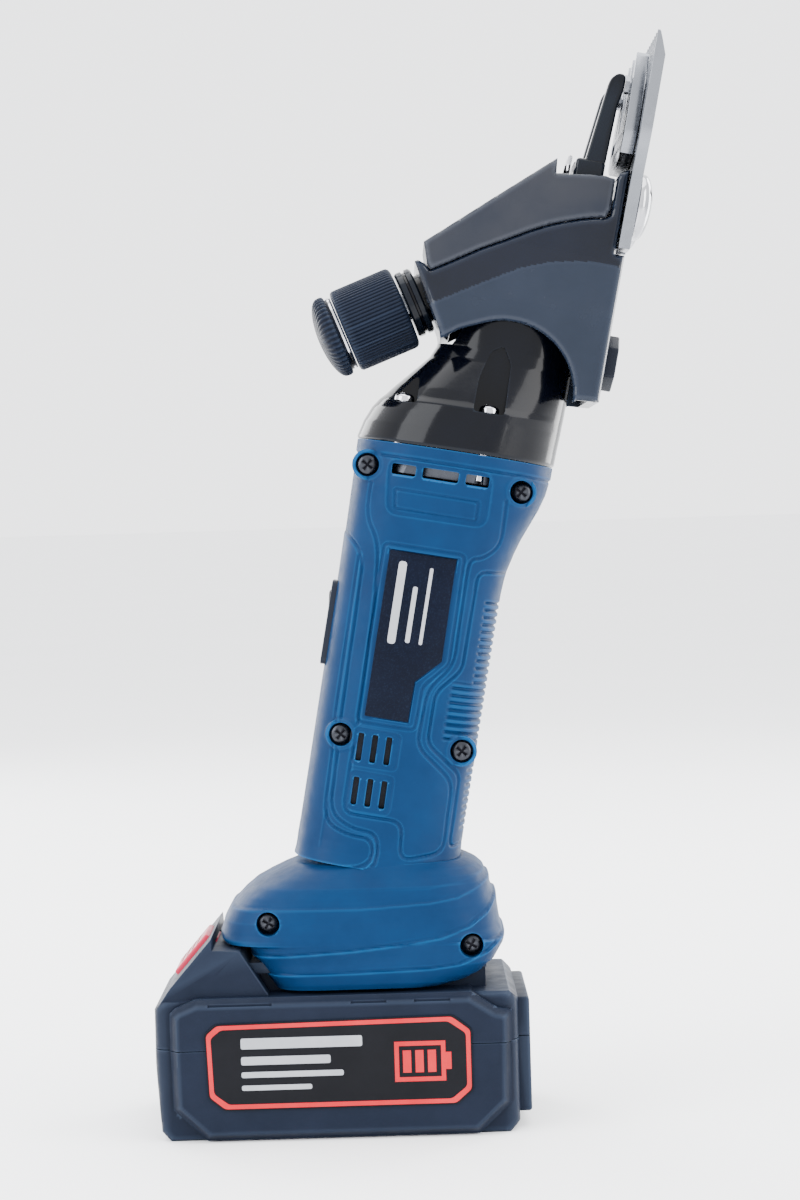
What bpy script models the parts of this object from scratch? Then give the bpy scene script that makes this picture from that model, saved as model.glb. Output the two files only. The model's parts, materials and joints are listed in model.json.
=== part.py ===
"""Cordless sheep clipper: blue two-half handle, gear housing, shearing head, slide-on battery.

Run with: blender --background --python part.py
All dimensions below are in millimetres; MM turns them into Blender's metres.
World frame: +Z up, the battery stands on z = 0, the comb points up and to +X.
"""

import math

import bmesh
import bpy
from mathutils import Matrix, Vector

MM = 0.001
GAP = 0.3                      # clearance between touching pieces
WALL = 2.5                     # plastic wall of the handle

# Handle frame: origin in the middle of the top collar, local Z up the handle.
HANDLE_X, HANDLE_Z, HANDLE_TILT = 16.4, 214.5, 10.5
COLLAR_R = 32.25
GRIP_POWER = 2.7               # squareness of the grip's section
PARTING = 0.15                 # half of the gap between the two halves
SCREW_SPOTS = [(-27.3, -8.1), (22.3, -9.4), (-22.6, -94.1), (16.3, -93.6)]   # local X, Z
BOSS_R, BOSS_STEM_R = 4.9, 2.9   # boss around a screw's head, and between the halves
BOSS_FACE_Y, BOSS_STEP_Y = 20.3, 12.5
HEAD_SEAT_Y, FOOT_SEAT_Y = -17.5, -27.0    # seats of the case screws' heads
SHELL_SOLVER = "MANIFOLD"      # the many crossing bosses and slots need the sturdier solver
PLATE_FACE_Y = 24.0            # floor of the nameplate's recess
ROCKER_X, ROCKER_Z = -29.8, -60.0          # axis of the rocker switch

# Bed frame: origin on the underside of the head, local Z up the comb, depth n = -local X.
BED_X, BED_Z, BED_TILT = 66.2, 250.8, 11.5
PIVOT_V = -8.2                 # fulcrum axis along the bed
BALL_N, BALL_R = 23.5, 4.5
COMB_FACE = 2.6                # depth of the comb's running face
COMB_THICKNESS = 3.6
COMB_HALF_WIDTH = 38.0
COMB_TEETH, COMB_ROOT_V, COMB_TIP_V = 13, 64.0, 94.0
COMB_SCREW_V, COMB_SCREW_Y = 41.0, (-16.0, 16.0)
CUTTER_TEETH, CUTTER_PITCH = 4, 15.0
CUTTER_DEPTH = 7.0             # depth of the cutter's outer face
FORK_TIP_V, FORK_TIP_Y = 78.4, (-17.0, 17.0)
HEAD_HALF_Y, HEAD_ROOM_Y = 33.0, 22.7      # widest blank of the head, and its hollow
REAR_WALL = [(53.7, -7.9), (58.8, 1.0), (63.1, 8.5), (65.9, 13.2)]           # depth, v
SEAM = [(8.0, 34.7), (15.7, 33.0), (21.7, 31.0), (30.6, 26.9), (39.4, 21.9),
        (45.2, 18.7), (53.8, 13.1), (59.5, 9.6)]                            # cover on casting

# Tension frame: origin at the inner end of the knob, local Z along the screw, into the head.
TENSION_X, TENSION_Z, TENSION_TILT = 1.4, 262.6, 68.7
CONTACT_T = 55.0               # where the tension pin meets the fork
PIN_PIVOT_T = 30.6             # where the pin rocks in the end of the rod

# Gears
MODULE = 0.75
PINION_TEETH, GEAR_TEETH = 11, 32
PRESSURE_ANGLE = math.radians(25.0)
MOTOR_U = -4.9                 # motor axis, local X of the handle frame
CRANK_U = MOTOR_U + MODULE * (PINION_TEETH + GEAR_TEETH) / 2.0
ECCENTRIC = 1.6
GEAR_LOW, GEAR_HIGH = -3.3, 4.3
FAN_BLADES = 9
HEAD_SCREW_SPOTS = [(8.2, -25.0), (-18.8, -18.5), (8.2, 25.0), (-18.8, 18.5)]
HEAD_SCREW_SEAT = 13.4

# Battery frame: origin under the middle of the battery.
BATTERY_X = -26.8
BODY_HALF_Y, PANEL_HALF_Y = 33.0, 37.5
SEAM_Z, DECK_Z = 29.0, 45.2
FOOT_SPOTS = [(-22.2, 68.0), (41.7, 59.5)]         # screws through the foot, X, Z
BATTERY_SCREWS = [(-49.6, -24.0), (-49.6, 24.0), (48.9, -24.0), (48.9, 24.0)]
CELL_R, CELL_PITCH = 9.3, 18.4
TERMINAL_Y = (-7.0, 7.0)
WEDGE = [(-55.2, 43.9), (-52.1, 48.3), (-38.9, 63.4), (-38.6, 59.8), (-29.9, 59.4),
         (-21.2, 45.6), (-21.0, 43.4), (-55.0, 43.2)]
RELEASE_X, RELEASE_Z = -45.5, 55.8                 # middle of the wedge's slope
SLOPE = math.degrees(math.atan2(15.1, 13.2))


def frame(x, z, tilt):
    """Local frame in the XZ plane, leaning by tilt degrees towards +X."""
    return Matrix.Translation((x * MM, 0.0, z * MM)) @ Matrix.Rotation(math.radians(tilt), 4, "Y")


HANDLE = frame(HANDLE_X, HANDLE_Z, HANDLE_TILT)
BED = frame(BED_X, BED_Z, BED_TILT)
TENSION = frame(TENSION_X, TENSION_Z, TENSION_TILT)
BATTERY = frame(BATTERY_X, 0.0, 0.0)


def at(matrix, x=0.0, y=0.0, z=0.0):
    """The same frame moved by a local offset."""
    return matrix @ Matrix.Translation((x * MM, y * MM, z * MM))


def turned_to(matrix, axis, degrees):
    """The same frame turned about one of its own axes."""
    return matrix @ Matrix.Rotation(math.radians(degrees), 4, axis)


# ---------------------------------------------------------------- scene and materials

for leftover in list(bpy.data.objects):
    bpy.data.objects.remove(leftover, do_unlink=True)

PARTS = bpy.data.collections.new("sheep_clipper")
CUTTERS = bpy.data.collections.new("cutters")
bpy.context.scene.collection.children.link(PARTS)
bpy.context.scene.collection.children.link(CUTTERS)


def material(name, colour, roughness, metallic=0.0):
    shader = bpy.data.materials.new(name)
    shader.use_nodes = True
    node = shader.node_tree.nodes["Principled BSDF"]
    node.inputs["Base Color"].default_value = (*colour, 1.0)
    node.inputs["Roughness"].default_value = roughness
    node.inputs["Metallic"].default_value = metallic
    return shader


BLUE_PLASTIC = material("blue_plastic", (0.010, 0.120, 0.330), 0.50)
BLACK_PAINT = material("black_paint", (0.010, 0.012, 0.020), 0.15)
BLACK_SATIN = material("black_satin", (0.030, 0.035, 0.050), 0.35)
NAVY_PLASTIC = material("navy_plastic", (0.020, 0.030, 0.060), 0.45)
GREY_PLASTIC = material("grey_plastic", (0.075, 0.095, 0.140), 0.50)
RED_PLASTIC = material("red_plastic", (0.650, 0.010, 0.060), 0.40)
GROUND_STEEL = material("ground_steel", (0.560, 0.570, 0.590), 0.30, 1.0)
DARK_STEEL = material("dark_steel", (0.120, 0.120, 0.130), 0.40, 1.0)
CHROME = material("chrome", (0.800, 0.800, 0.820), 0.10, 1.0)
GREEN_BOARD = material("green_board", (0.020, 0.160, 0.060), 0.45)
LABEL_FILM = material("label_film", (0.060, 0.060, 0.070), 0.30)
CELL_WRAP = material("cell_wrap", (0.050, 0.250, 0.220), 0.35)


# ---------------------------------------------------------------- shape helpers

def place(name, mesh, matrix, shader=None):
    """Link a mesh as a part, or as a cutter when it has no material."""
    piece = bpy.data.objects.new(name, mesh)
    piece.matrix_world = matrix
    if shader:
        mesh.materials.append(shader)
        PARTS.objects.link(piece)
    else:
        CUTTERS.objects.link(piece)
        piece.hide_render = True
        piece.display_type = "WIRE"
    return piece


def mesh_from(bm, name):
    bmesh.ops.recalc_face_normals(bm, faces=bm.faces)
    mesh = bpy.data.meshes.new(name)
    bm.to_mesh(mesh)
    bm.free()
    return mesh


def box(name, matrix, xs, ys, zs, shader=None):
    """A block between two values on each local axis."""
    bm = bmesh.new()
    bmesh.ops.create_cube(bm, size=1.0)
    size = [(high - low) * MM for low, high in (xs, ys, zs)]
    middle = [(high + low) * MM / 2.0 for low, high in (xs, ys, zs)]
    bmesh.ops.scale(bm, vec=size, verts=bm.verts)
    bmesh.ops.translate(bm, vec=middle, verts=bm.verts)
    return place(name, mesh_from(bm, name), matrix, shader)


def cylinder(name, matrix, radius, z_low, z_high, shader=None, sides=20):
    """A round bar along local Z."""
    bm = bmesh.new()
    bmesh.ops.create_cone(bm, cap_ends=True, segments=sides, radius1=radius * MM,
                          radius2=radius * MM, depth=(z_high - z_low) * MM)
    bmesh.ops.translate(bm, vec=(0.0, 0.0, (z_high + z_low) * MM / 2.0), verts=bm.verts)
    return place(name, mesh_from(bm, name), matrix, shader)


def cross_bar(name, matrix, x, z, radius, y_low, y_high, shader=None, sides=16):
    """A round bar along local Y."""
    along_y = turned_to(at(matrix, x, 0.0, z), "X", -90.0)
    return cylinder(name, along_y, radius, y_low, y_high, shader, sides)


def turned(name, matrix, profile, shader=None, steps=20):
    """A turned shape: (radius, z) points down its outer side; off-axis profiles close into a ring."""
    mesh = bpy.data.meshes.new(name)
    count = len(profile)
    ring = profile[0][0] > 0.0
    edges = [(i, (i + 1) % count) for i in range(count if ring else count - 1)]
    mesh.from_pydata([(r * MM, 0.0, z * MM) for r, z in profile], edges, [])
    piece = place(name, mesh, matrix, shader)
    screw = piece.modifiers.new("turn", "SCREW")
    screw.axis = "Z"
    screw.steps = steps
    screw.render_steps = steps
    screw.use_merge_vertices = True
    screw.merge_threshold = 0.00001
    return piece


def ring(name, matrix, inner, outer, z_low, z_high, shader=None, steps=24):
    profile = [(outer, z_high), (outer, z_low), (inner, z_low), (inner, z_high)]
    return turned(name, matrix, profile, shader, steps)


def flat(name, matrix, outlines, low, high, plane="XZ", shader=None):
    """One outline, with holes if more are given, drawn in a local plane and extruded across it."""
    curve = bpy.data.curves.new(name, "CURVE")
    curve.dimensions = "2D"
    curve.fill_mode = "BOTH"
    curve.extrude = (high - low) * MM / 2.0
    for outline in outlines:
        spline = curve.splines.new("POLY")
        spline.points.add(len(outline) - 1)
        for point, (a, b) in zip(spline.points, outline):
            point.co = (a * MM, b * MM, 0.0, 1.0)
        spline.use_cyclic_u = True
    drawing = bpy.data.objects.new(name + "_drawing", curve)
    CUTTERS.objects.link(drawing)
    bpy.context.view_layer.update()
    evaluated = drawing.evaluated_get(bpy.context.evaluated_depsgraph_get())
    mesh = bpy.data.meshes.new_from_object(evaluated)
    bpy.data.objects.remove(drawing, do_unlink=True)
    bpy.data.curves.remove(curve)
    middle = (high + low) * MM / 2.0
    if plane == "XZ":
        stand_up = Matrix.Rotation(math.radians(90.0), 4, "X")
        mesh.transform(Matrix.Translation((0.0, middle, 0.0)) @ stand_up)
    elif plane == "YZ":
        swap = Matrix(((0, 0, 1, middle), (1, 0, 0, 0), (0, 1, 0, 0), (0, 0, 0, 1)))
        mesh.transform(swap)
    else:
        mesh.transform(Matrix.Translation((0.0, 0.0, middle)))
    bm = bmesh.new()
    bm.from_mesh(mesh)
    bmesh.ops.remove_doubles(bm, verts=bm.verts, dist=0.000002)
    bpy.data.meshes.remove(mesh)
    mesh = mesh_from(bm, name)
    mesh.materials.clear()
    return place(name, mesh, matrix, shader)


def bed_outline(points):
    """Points given as (depth below the comb side, distance along the bed) in the bed frame."""
    return [(-n, v) for n, v in points]


def oval(left, right, half_y, power, z, sides=20):
    """One level section of a loft: a rounded rectangle whose squareness grows with power."""
    points = []
    for i in range(sides):
        angle = 2.0 * math.pi * (i + 0.5) / sides
        c, s = math.cos(angle), math.sin(angle)
        x = (left + right) / 2.0 + (right - left) / 2.0 * math.copysign(abs(c) ** (2.0 / power), c)
        y = half_y * math.copysign(abs(s) ** (2.0 / power), s)
        points.append((x * MM, y * MM, z * MM))
    return points


def loft(name, matrix, sections, shader=None):
    """A skin over level sections (z, left, right, half_y, power), closed at both ends."""
    bm = bmesh.new()
    rings = [[bm.verts.new(p) for p in oval(left, right, half_y, power, z)]
             for z, left, right, half_y, power in sections]
    count = len(rings[0])
    for lower, upper in zip(rings, rings[1:]):
        for i in range(count):
            j = (i + 1) % count
            bm.faces.new((lower[i], lower[j], upper[j], upper[i]))
    bm.faces.new(rings[0])
    bm.faces.new(rings[-1])
    return place(name, mesh_from(bm, name), matrix, shader)


def combine(target, operand, operation, solver="EXACT"):
    boolean = target.modifiers.new(operand.name, "BOOLEAN")
    boolean.operation = operation
    boolean.object = operand
    boolean.solver = solver


def cut(target, *operands, solver="EXACT"):
    for operand in operands:
        combine(target, operand, "DIFFERENCE", solver)


def join(target, *operands, solver="EXACT"):
    for operand in operands:
        combine(target, operand, "UNION", solver)


def carry(parent, *children):
    """Make pieces that move together follow one of them, each staying where it is."""
    for child in children:
        child.parent = parent
        child.matrix_parent_inverse = parent.matrix_world.inverted()


def copy_of(guide, name, shader):
    """A part made from the finished shape of a guide object."""
    bpy.context.view_layer.update()
    evaluated = guide.evaluated_get(bpy.context.evaluated_depsgraph_get())
    mesh = bpy.data.meshes.new_from_object(evaluated)
    mesh.name = name
    mesh.materials.clear()
    return place(name, mesh, guide.matrix_world.copy(), shader)


def arc(cx, cy, radius, start, end, count):
    """Points on an arc, angles in degrees."""
    step = (end - start) / (count - 1)
    angles = [math.radians(start + step * i) for i in range(count)]
    return [(cx + radius * math.cos(a), cy + radius * math.sin(a)) for a in angles]


# ---------------------------------------------------------------- handle housing

def grip_sections(inset):
    """Collar, flare and straight grip, from the top down: round at the collar, squarer below."""
    right_edge = [(0.0, COLLAR_R), (-4.2, 32.2), (-9.0, 31.5), (-14.0, 30.0), (-20.0, 27.6),
                  (-29.0, 24.4), (-43.0, 22.1), (-140.0, 22.0)]
    sections = []
    for z, right in right_edge:
        blend = min(1.0, max(0.0, -z / 40.0))
        left = -COLLAR_R + 0.5 * blend
        half_y = 32.0 - 7.0 * blend ** 0.7
        power = 2.0 + (GRIP_POWER - 2.0) * min(1.0, blend * 3.0)
        sections.append((z, left + inset, right - inset, half_y - inset, power))
    return sections


def foot_sections(inset):
    """The battery foot in the battery frame, from the bottom up."""
    rows = [(46.4, -20.4, 37.5, 33.0, 5.0), (50.0, -22.6, 47.6, 34.6, 5.0), (58.5, -28.4, 54.3, 36.2, 5.0),
            (60.2, -29.6, 54.6, 36.3, 5.0), (60.8, -37.6, 54.7, 36.4, 4.0), (63.6, -38.0, 54.4, 36.2, 3.6),
            (71.4, -33.6, 52.8, 34.6, 3.6), (78.0, -26.0, 50.6, 31.6, 3.4), (84.6, -12.5, 43.0, 25.6, 3.0)]
    return [(z, left + inset, right - inset, half_y - inset, power)
            for z, left, right, half_y, power in rows]


def screw_boss(x, z, clearance, face_y):
    """Spool-shaped boss along local Y: wide at both faces, narrow in the middle."""
    along_y = turned_to(at(HANDLE, x, 0.0, z), "X", -90.0)
    wide, narrow = BOSS_R + clearance, BOSS_STEM_R + clearance
    profile = [(0.0, face_y), (wide, face_y), (wide, BOSS_STEP_Y), (narrow, BOSS_STEP_Y - 1.0),
               (narrow, 1.0 - BOSS_STEP_Y), (wide, -BOSS_STEP_Y), (wide, -face_y), (0.0, -face_y)]
    return turned("boss", along_y, profile, None, 8)


def screw_well(name, matrix, x, z, seat_y, face_y, tip_y):
    """Counterbore and shank hole for one case screw, along local Y."""
    along_y = turned_to(at(matrix, x, 0.0, z), "X", -90.0)
    profile = [(0.0, tip_y), (1.8, tip_y), (1.8, seat_y), (3.7, seat_y), (3.7, face_y), (0.0, face_y)]
    return turned(name, along_y, profile, None, 8)


def case_screw(name, matrix, x, z, seat_y, tip_y):
    """Pan-head screw; its head faces -Y and its thread runs to +Y."""
    along_y = turned_to(at(matrix, x, 0.0, z), "X", -90.0)
    profile = [(0.0, tip_y), (1.5, tip_y), (1.5, seat_y - GAP), (3.3, seat_y - GAP),
               (3.3, seat_y - 1.6), (2.4, seat_y - 2.5), (0.0, seat_y - 2.8)]
    return turned(name, along_y, profile, DARK_STEEL, 10)


def housing():
    """Both halves of the blue case, cut from one shell at the plane y = 0."""
    shell = loft("housing_shell", HANDLE, grip_sections(0.0))
    foot = loft("foot_shell", BATTERY, foot_sections(0.0))
    room = loft("grip_room", HANDLE, [(1.0, -29.7, 29.7, 29.5, 2.0)] + grip_sections(WALL)[1:-1]
                + [(-130.0, -29.25, 19.5, 22.5, GRIP_POWER)])
    foot_room = loft("foot_room", BATTERY, foot_sections(3.0)[3:-1])
    bosses = [screw_boss(x, z, 0.0, BOSS_FACE_Y) for x, z in SCREW_SPOTS]
    bosses += [cross_bar("foot_boss", BATTERY, x, z, 5.0, -34.0, 34.0) for x, z in FOOT_SPOTS]
    join(shell, foot, solver=SHELL_SOLVER)
    cut(shell, room, foot_room, solver=SHELL_SOLVER)
    join(shell, *bosses, solver=SHELL_SOLVER)
    cut(shell,
        box("rail_mouth", BATTERY, (-60.0, 49.0), (-22.6, 22.6), (40.0, 52.0)),
        box("rail_room", BATTERY, (-60.0, 49.0), (-26.6, 26.6), (50.8, 55.6)),
        box("contact_room", BATTERY, (-60.0, 36.0), (-14.0, 14.0), (55.0, 61.8)),
        solver=SHELL_SOLVER)
    wells = [screw_well("well", HANDLE, x, z, HEAD_SEAT_Y, -40.0, 16.0) for x, z in SCREW_SPOTS]
    wells += [screw_well("foot_well", BATTERY, x, z, FOOT_SEAT_Y, -45.0, 22.0) for x, z in FOOT_SPOTS]
    cut(shell, *wells, solver=SHELL_SOLVER)
    cut(shell, *vents(), solver=SHELL_SOLVER)
    cut(shell,
        box("switch_window", HANDLE, (-40.0, -27.0), (-8.3, 8.3), (-74.0, -46.0)),
        flat("plate_pocket_front", HANDLE, [plate_outline(0.4)], -40.0, -PLATE_FACE_Y),
        flat("plate_pocket_back", HANDLE, [plate_outline(0.4)], PLATE_FACE_Y, 40.0),
        solver=SHELL_SOLVER)
    for name, low, high in (("housing_front", -PARTING, 80.0), ("housing_back", -80.0, PARTING)):
        half = copy_of(shell, name, BLUE_PLASTIC)
        other_side = box("other_side", HANDLE, (-150.0, 150.0), (low, high), (-230.0, 60.0))
        cut(half, other_side, solver=SHELL_SOLVER)
    near, far = PLATE_FACE_Y + 0.1, PLATE_FACE_Y + 0.6
    flat("nameplate_front", HANDLE, [plate_outline(0.0)], -far, -near, shader=LABEL_FILM)
    flat("nameplate_back", HANDLE, [plate_outline(0.0)], near, far, shader=LABEL_FILM)
    for number, (x, z) in enumerate(SCREW_SPOTS, start=1):
        case_screw("housing_screw_%d" % number, HANDLE, x, z, HEAD_SEAT_Y, 12.0)
    for number, (x, z) in enumerate(FOOT_SPOTS, start=5):
        case_screw("housing_screw_%d" % number, BATTERY, x, z, FOOT_SEAT_Y, 18.0)


def plate_outline(grow):
    """Chamfered outline of the nameplate, or of its recess when it grows."""
    return [(-16.0 - grow, -33.6 + grow), (5.2 + grow, -33.6 + grow), (5.5 + grow, -66.3 - grow / 2.0),
            (-2.0 + grow, -73.8 - grow / 2.0), (-2.2 + grow, -86.8 - grow), (-16.0 - grow, -86.8 - grow)]


def vents():
    """Three exhaust slots under the collar and two groups of intake slots, through both halves."""
    cutters = []
    for low, high in ((-19.4, -11.8), (-8.8, 2.4), (4.4, 11.8)):
        cutters.append(box("top_vent", HANDLE, (low, high), (-40.0, 40.0), (-9.7, -6.6)))
    for x in (-15.6, -11.2, -6.8):
        for z in (-96.9, -110.9):
            cutters.append(box("side_vent", HANDLE, (x - 1.0, x + 1.0), (-40.0, 40.0), (z - 4.3, z + 4.3)))
    return cutters


def switch():
    """Rocker switch on the narrow left edge of the grip."""
    bezel = box("switch_frame", HANDLE, (-32.9, -27.2), (-8.0, 8.0), (-73.7, -46.3), BLACK_SATIN)
    cut(bezel, box("switch_pocket", HANDLE, (-40.0, -27.9), (-5.9, 5.9), (-71.6, -48.4)))
    outline = [(-33.5, -49.6), (-32.2, -60.0), (-31.2, -70.4), (-29.6, -70.4), (-28.9, -60.0), (-31.3, -49.6)]
    local = [(x - ROCKER_X, z - ROCKER_Z) for x, z in outline]
    flat("switch_rocker", at(HANDLE, ROCKER_X, 0.0, ROCKER_Z), [local], -5.5, 5.5, shader=BLACK_SATIN)


# ---------------------------------------------------------------- motor, gears and crank

def involute_gear(name, matrix, teeth, bore, phase, shader):
    """Spur gear with involute flanks, short addendum and a little backlash."""
    pitch_r = MODULE * teeth / 2.0
    base_r = pitch_r * math.cos(PRESSURE_ANGLE)
    tip_r = pitch_r + 0.8 * MODULE
    root_r = pitch_r - 1.0 * MODULE
    backlash = 0.13 / pitch_r

    def roll(radius):
        ratio = min(1.0, base_r / radius)
        return math.tan(math.acos(ratio)) - math.acos(ratio)

    half = math.pi / (2.0 * teeth) - backlash / 2.0 + roll(pitch_r)
    start_r = max(base_r, root_r)
    radii = [start_r + (tip_r - start_r) * i / 2.0 for i in range(3)]
    outline = []
    for tooth in range(teeth):
        middle = phase + 2.0 * math.pi * tooth / teeth
        flank = [(r, half - roll(r)) for r in radii]
        side = flank if base_r < root_r else [(root_r, half + 0.02)] + flank
        polar = [(r, middle - a) for r, a in side] + [(r, middle + a) for r, a in reversed(side)]
        outline += [(r * math.cos(a), r * math.sin(a)) for r, a in polar]
    hole = arc(0.0, 0.0, bore, 0.0, 345.0, 24)
    return flat(name, matrix, [outline, hole], GEAR_LOW, GEAR_HIGH, "XY", shader)


def motor():
    axis = at(HANDLE, MOTOR_U)
    can = [(21.4, -21.0), (21.4, -86.0), (3.2, -86.0), (3.2, -84.0), (19.4, -84.0), (19.4, -21.0)]
    turned("motor_can", axis, can, DARK_STEEL, 24)
    rotor = [(0.0, 5.0), (1.5, 5.0), (1.5, -10.8), (2.5, -11.0), (2.5, -27.0), (17.5, -27.0), (17.5, -74.0),
             (8.0, -74.0), (8.0, -82.0), (2.5, -82.0), (2.5, -89.0), (0.0, -89.0)]
    shaft = turned("rotor", axis, rotor, GROUND_STEEL, 16)
    fan = ring("cooling_fan", axis, 2.8, 20.0, -19.6, -18.0, BLACK_SATIN, 24)
    join(fan, ring("fan_hub", axis, 2.8, 6.0, -18.8, -12.8))
    for number in range(FAN_BLADES):
        blade_frame = turned_to(axis, "Z", 360.0 * number / FAN_BLADES)
        join(fan, box("fan_blade", blade_frame, (5.2, 19.2), (-0.6, 0.6), (-18.6, -13.2)))
    pinion = involute_gear("pinion", axis, PINION_TEETH, 1.8, 0.0, GROUND_STEEL)
    carry(shaft, fan, pinion)


def gear_plate():
    """Plate under the gears that carries the motor and the rear crank bearing."""
    plate = loft("gear_plate", HANDLE, grip_sections(WALL + 0.45)[1:3], GROUND_STEEL)
    cut(plate, cylinder("shaft_hole", at(HANDLE, MOTOR_U), 3.0, -20.0, 10.0),
        cylinder("rear_seat", at(HANDLE, CRANK_U), 7.8, -20.0, 10.0))
    for x, y in HEAD_SCREW_SPOTS:
        cut(plate, cylinder("tap_hole", at(HANDLE, x, y), 1.8, -20.0, 10.0, sides=8))
    for x, z in SCREW_SPOTS[:2]:
        cut(plate, screw_boss(x, z, 0.4, 40.0))


def crank():
    axis = at(HANDLE, CRANK_U)
    pin_axis = at(HANDLE, CRANK_U + ECCENTRIC)
    shaft = cylinder("crank_shaft", axis, 4.0, -9.8, 11.6, GROUND_STEEL)
    join(shaft, cylinder("crank_web", axis, 5.6, 11.3, 13.3),
         cylinder("crank_pin", pin_axis, 1.5, 13.0, 19.2, sides=16))
    half_pitch = math.pi / GEAR_TEETH
    gear = involute_gear("crank_gear", axis, GEAR_TEETH, 4.3, half_pitch, GROUND_STEEL)
    ring("crank_bearing_rear", axis, 4.3, 7.5, -8.8, -4.5, CHROME, 20)
    ring("crank_bearing_front", axis, 4.3, 9.0, 6.1, 10.7, CHROME, 20)
    roller = ring("crank_roller", pin_axis, 1.8, 3.2, 13.7, 18.6, CHROME, 16)
    carry(shaft, gear, roller)


def gear_housing():
    """Casting from the round collar to the narrow neck, with a bearing wall and two pockets a side."""
    sections = [(GAP, -COLLAR_R, COLLAR_R, 32.0, 2.0), (6.3, -30.7, 32.5, 31.7, 2.0),
                (11.0, -28.4, 32.8, 31.2, 2.0), (14.5, -26.2, 32.9, 30.6, 2.0), (19.0, -22.4, 33.1, 28.2, 2.0),
                (25.0, -17.0, 33.3, 25.0, 2.0), (29.7, -12.7, 33.4, 23.0, 2.0), (33.5, -11.1, 33.5, 22.3, 2.0),
                (46.0, -11.1, 33.5, 22.3, 2.0)]
    body = loft("gear_housing", HANDLE, sections, BLACK_PAINT)
    above = [(60.0, 21.3), (35.1, 21.3)] + arc(CRANK_U, 21.0, 23.5, 12.0, 118.0, 10)
    above += [(-4.0, 39.0), (-6.5, 34.0), (-60.0, 34.0), (-60.0, 80.0), (60.0, 80.0)]
    cut(body, flat("above_arch", HANDLE, [above], -50.0, 50.0), solver=SHELL_SOLVER)
    cut(body,
        loft("gear_room", HANDLE, [(-2.0, -29.2, 29.2, 29.2, 2.0), (5.8, -27.5, 29.2, 28.6, 2.0)]),
        cylinder("front_seat", at(HANDLE, CRANK_U), 9.3, 3.0, 14.0, sides=32),
        cylinder("neck_room", at(HANDLE, CRANK_U), 19.2, 11.0, 60.0, sides=32),
        cylinder("post_notch", turned_to(at(BED, 0.0, 0.0, PIVOT_V), "Y", -90.0), 5.2, -5.0, 30.0),
        solver=SHELL_SOLVER)
    for x, y in HEAD_SCREW_SPOTS:
        side = math.copysign(1.0, y)
        cut(body, cylinder("screw_way", at(HANDLE, x, y), 1.8, 0.0, 20.0, sides=12), solver=SHELL_SOLVER)
        if x > 0.0:
            slot = [(x - 5.2, 13.4), (x + 4.8, 13.4), (x + 4.6, 30.0), (x + 1.6, 35.5), (x - 2.4, 33.0),
                    (x - 4.8, 24.0)]
        else:
            slot = [(x - 4.2, 13.4), (x + 4.0, 13.4), (x + 3.8, 21.8), (x + 2.4, 21.8)]
        low, high = sorted((side * (abs(y) - 4.2), side * 45.0))
        cut(body, flat("screw_pocket", HANDLE, [slot], low, high), solver=SHELL_SOLVER)
    for number, (x, y) in enumerate(HEAD_SCREW_SPOTS, start=1):
        under_head = HEAD_SCREW_SEAT + GAP
        profile = [(0.0, 16.4), (2.0, 16.2), (3.1, 15.2), (3.1, under_head), (1.5, under_head),
                   (1.5, -8.0), (0.0, -8.0)]
        turned("head_screw_%d" % number, at(HANDLE, x, y), profile, CHROME, 10)


# ---------------------------------------------------------------- shearing head

def head_plan(name):
    """Plan of the head seen along the bed's normal: it widens towards the comb."""
    half = [(-40.0, 25.4), (4.0, 25.4), (22.0, 27.0), (36.0, 29.5), (60.0, 31.0)]
    outline = [(y, v) for v, y in half] + [(-y, v) for v, y in reversed(half)]
    return flat(name, BED, [outline], -110.0, 30.0, "YZ")


def head_casting():
    arch = bed_outline(arch_points())
    bed = COMB_FACE + GAP
    side = bed_outline([(0.0, -22.4), (0.0, 24.2), (bed, 24.2), (bed, 51.0), (5.9, 49.6), (6.5, 47.5),
                        (6.6, 36.0)] + SEAM + [(61.6, 11.4)] + REAR_WALL[::-1])
    body = flat("head_casting", BED, [side + arch], -HEAD_HALF_Y, HEAD_HALF_Y, shader=BLACK_PAINT)
    combine(body, head_plan("head_plan"), "INTERSECT")
    room = bed_outline([(3.5, -45.0), (3.5, 16.0), (6.8, 21.0), (6.8, 70.0), (40.0, 70.0), (75.0, 30.0),
                        (59.0, 9.2), (50.0, -8.0), (50.0, -45.0)])
    cut(body, flat("head_room", BED, [room], -HEAD_ROOM_Y, HEAD_ROOM_Y))
    cut(body, cylinder("sleeve_hole", TENSION, 8.3, 2.0, 30.0),
        cylinder("post_hole", turned_to(at(BED, 0.0, 0.0, PIVOT_V), "Y", -90.0), 4.3, -5.0, 10.0))
    for y in COMB_SCREW_Y:
        inward = turned_to(at(BED, 0.0, y, COMB_SCREW_V), "Y", -90.0)
        cut(body, cylinder("comb_tap", inward, 2.9, -5.0, 12.0, sides=16))


def arch_points():
    """The round cut-out of the head's sides over the neck, in bed coordinates from rear to front."""
    to_bed = BED.inverted() @ HANDLE
    points = []
    for u, z in [(-10.6, 34.6), (-4.9, 38.6)] + arc(CRANK_U, 21.0, 22.5, 112.0, 0.0, 14):
        spot = to_bed @ Vector((u * MM, 0.0, z * MM))
        points.append((-spot.x / MM, spot.z / MM))
    return points + [(7.0, -22.9)]


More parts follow.
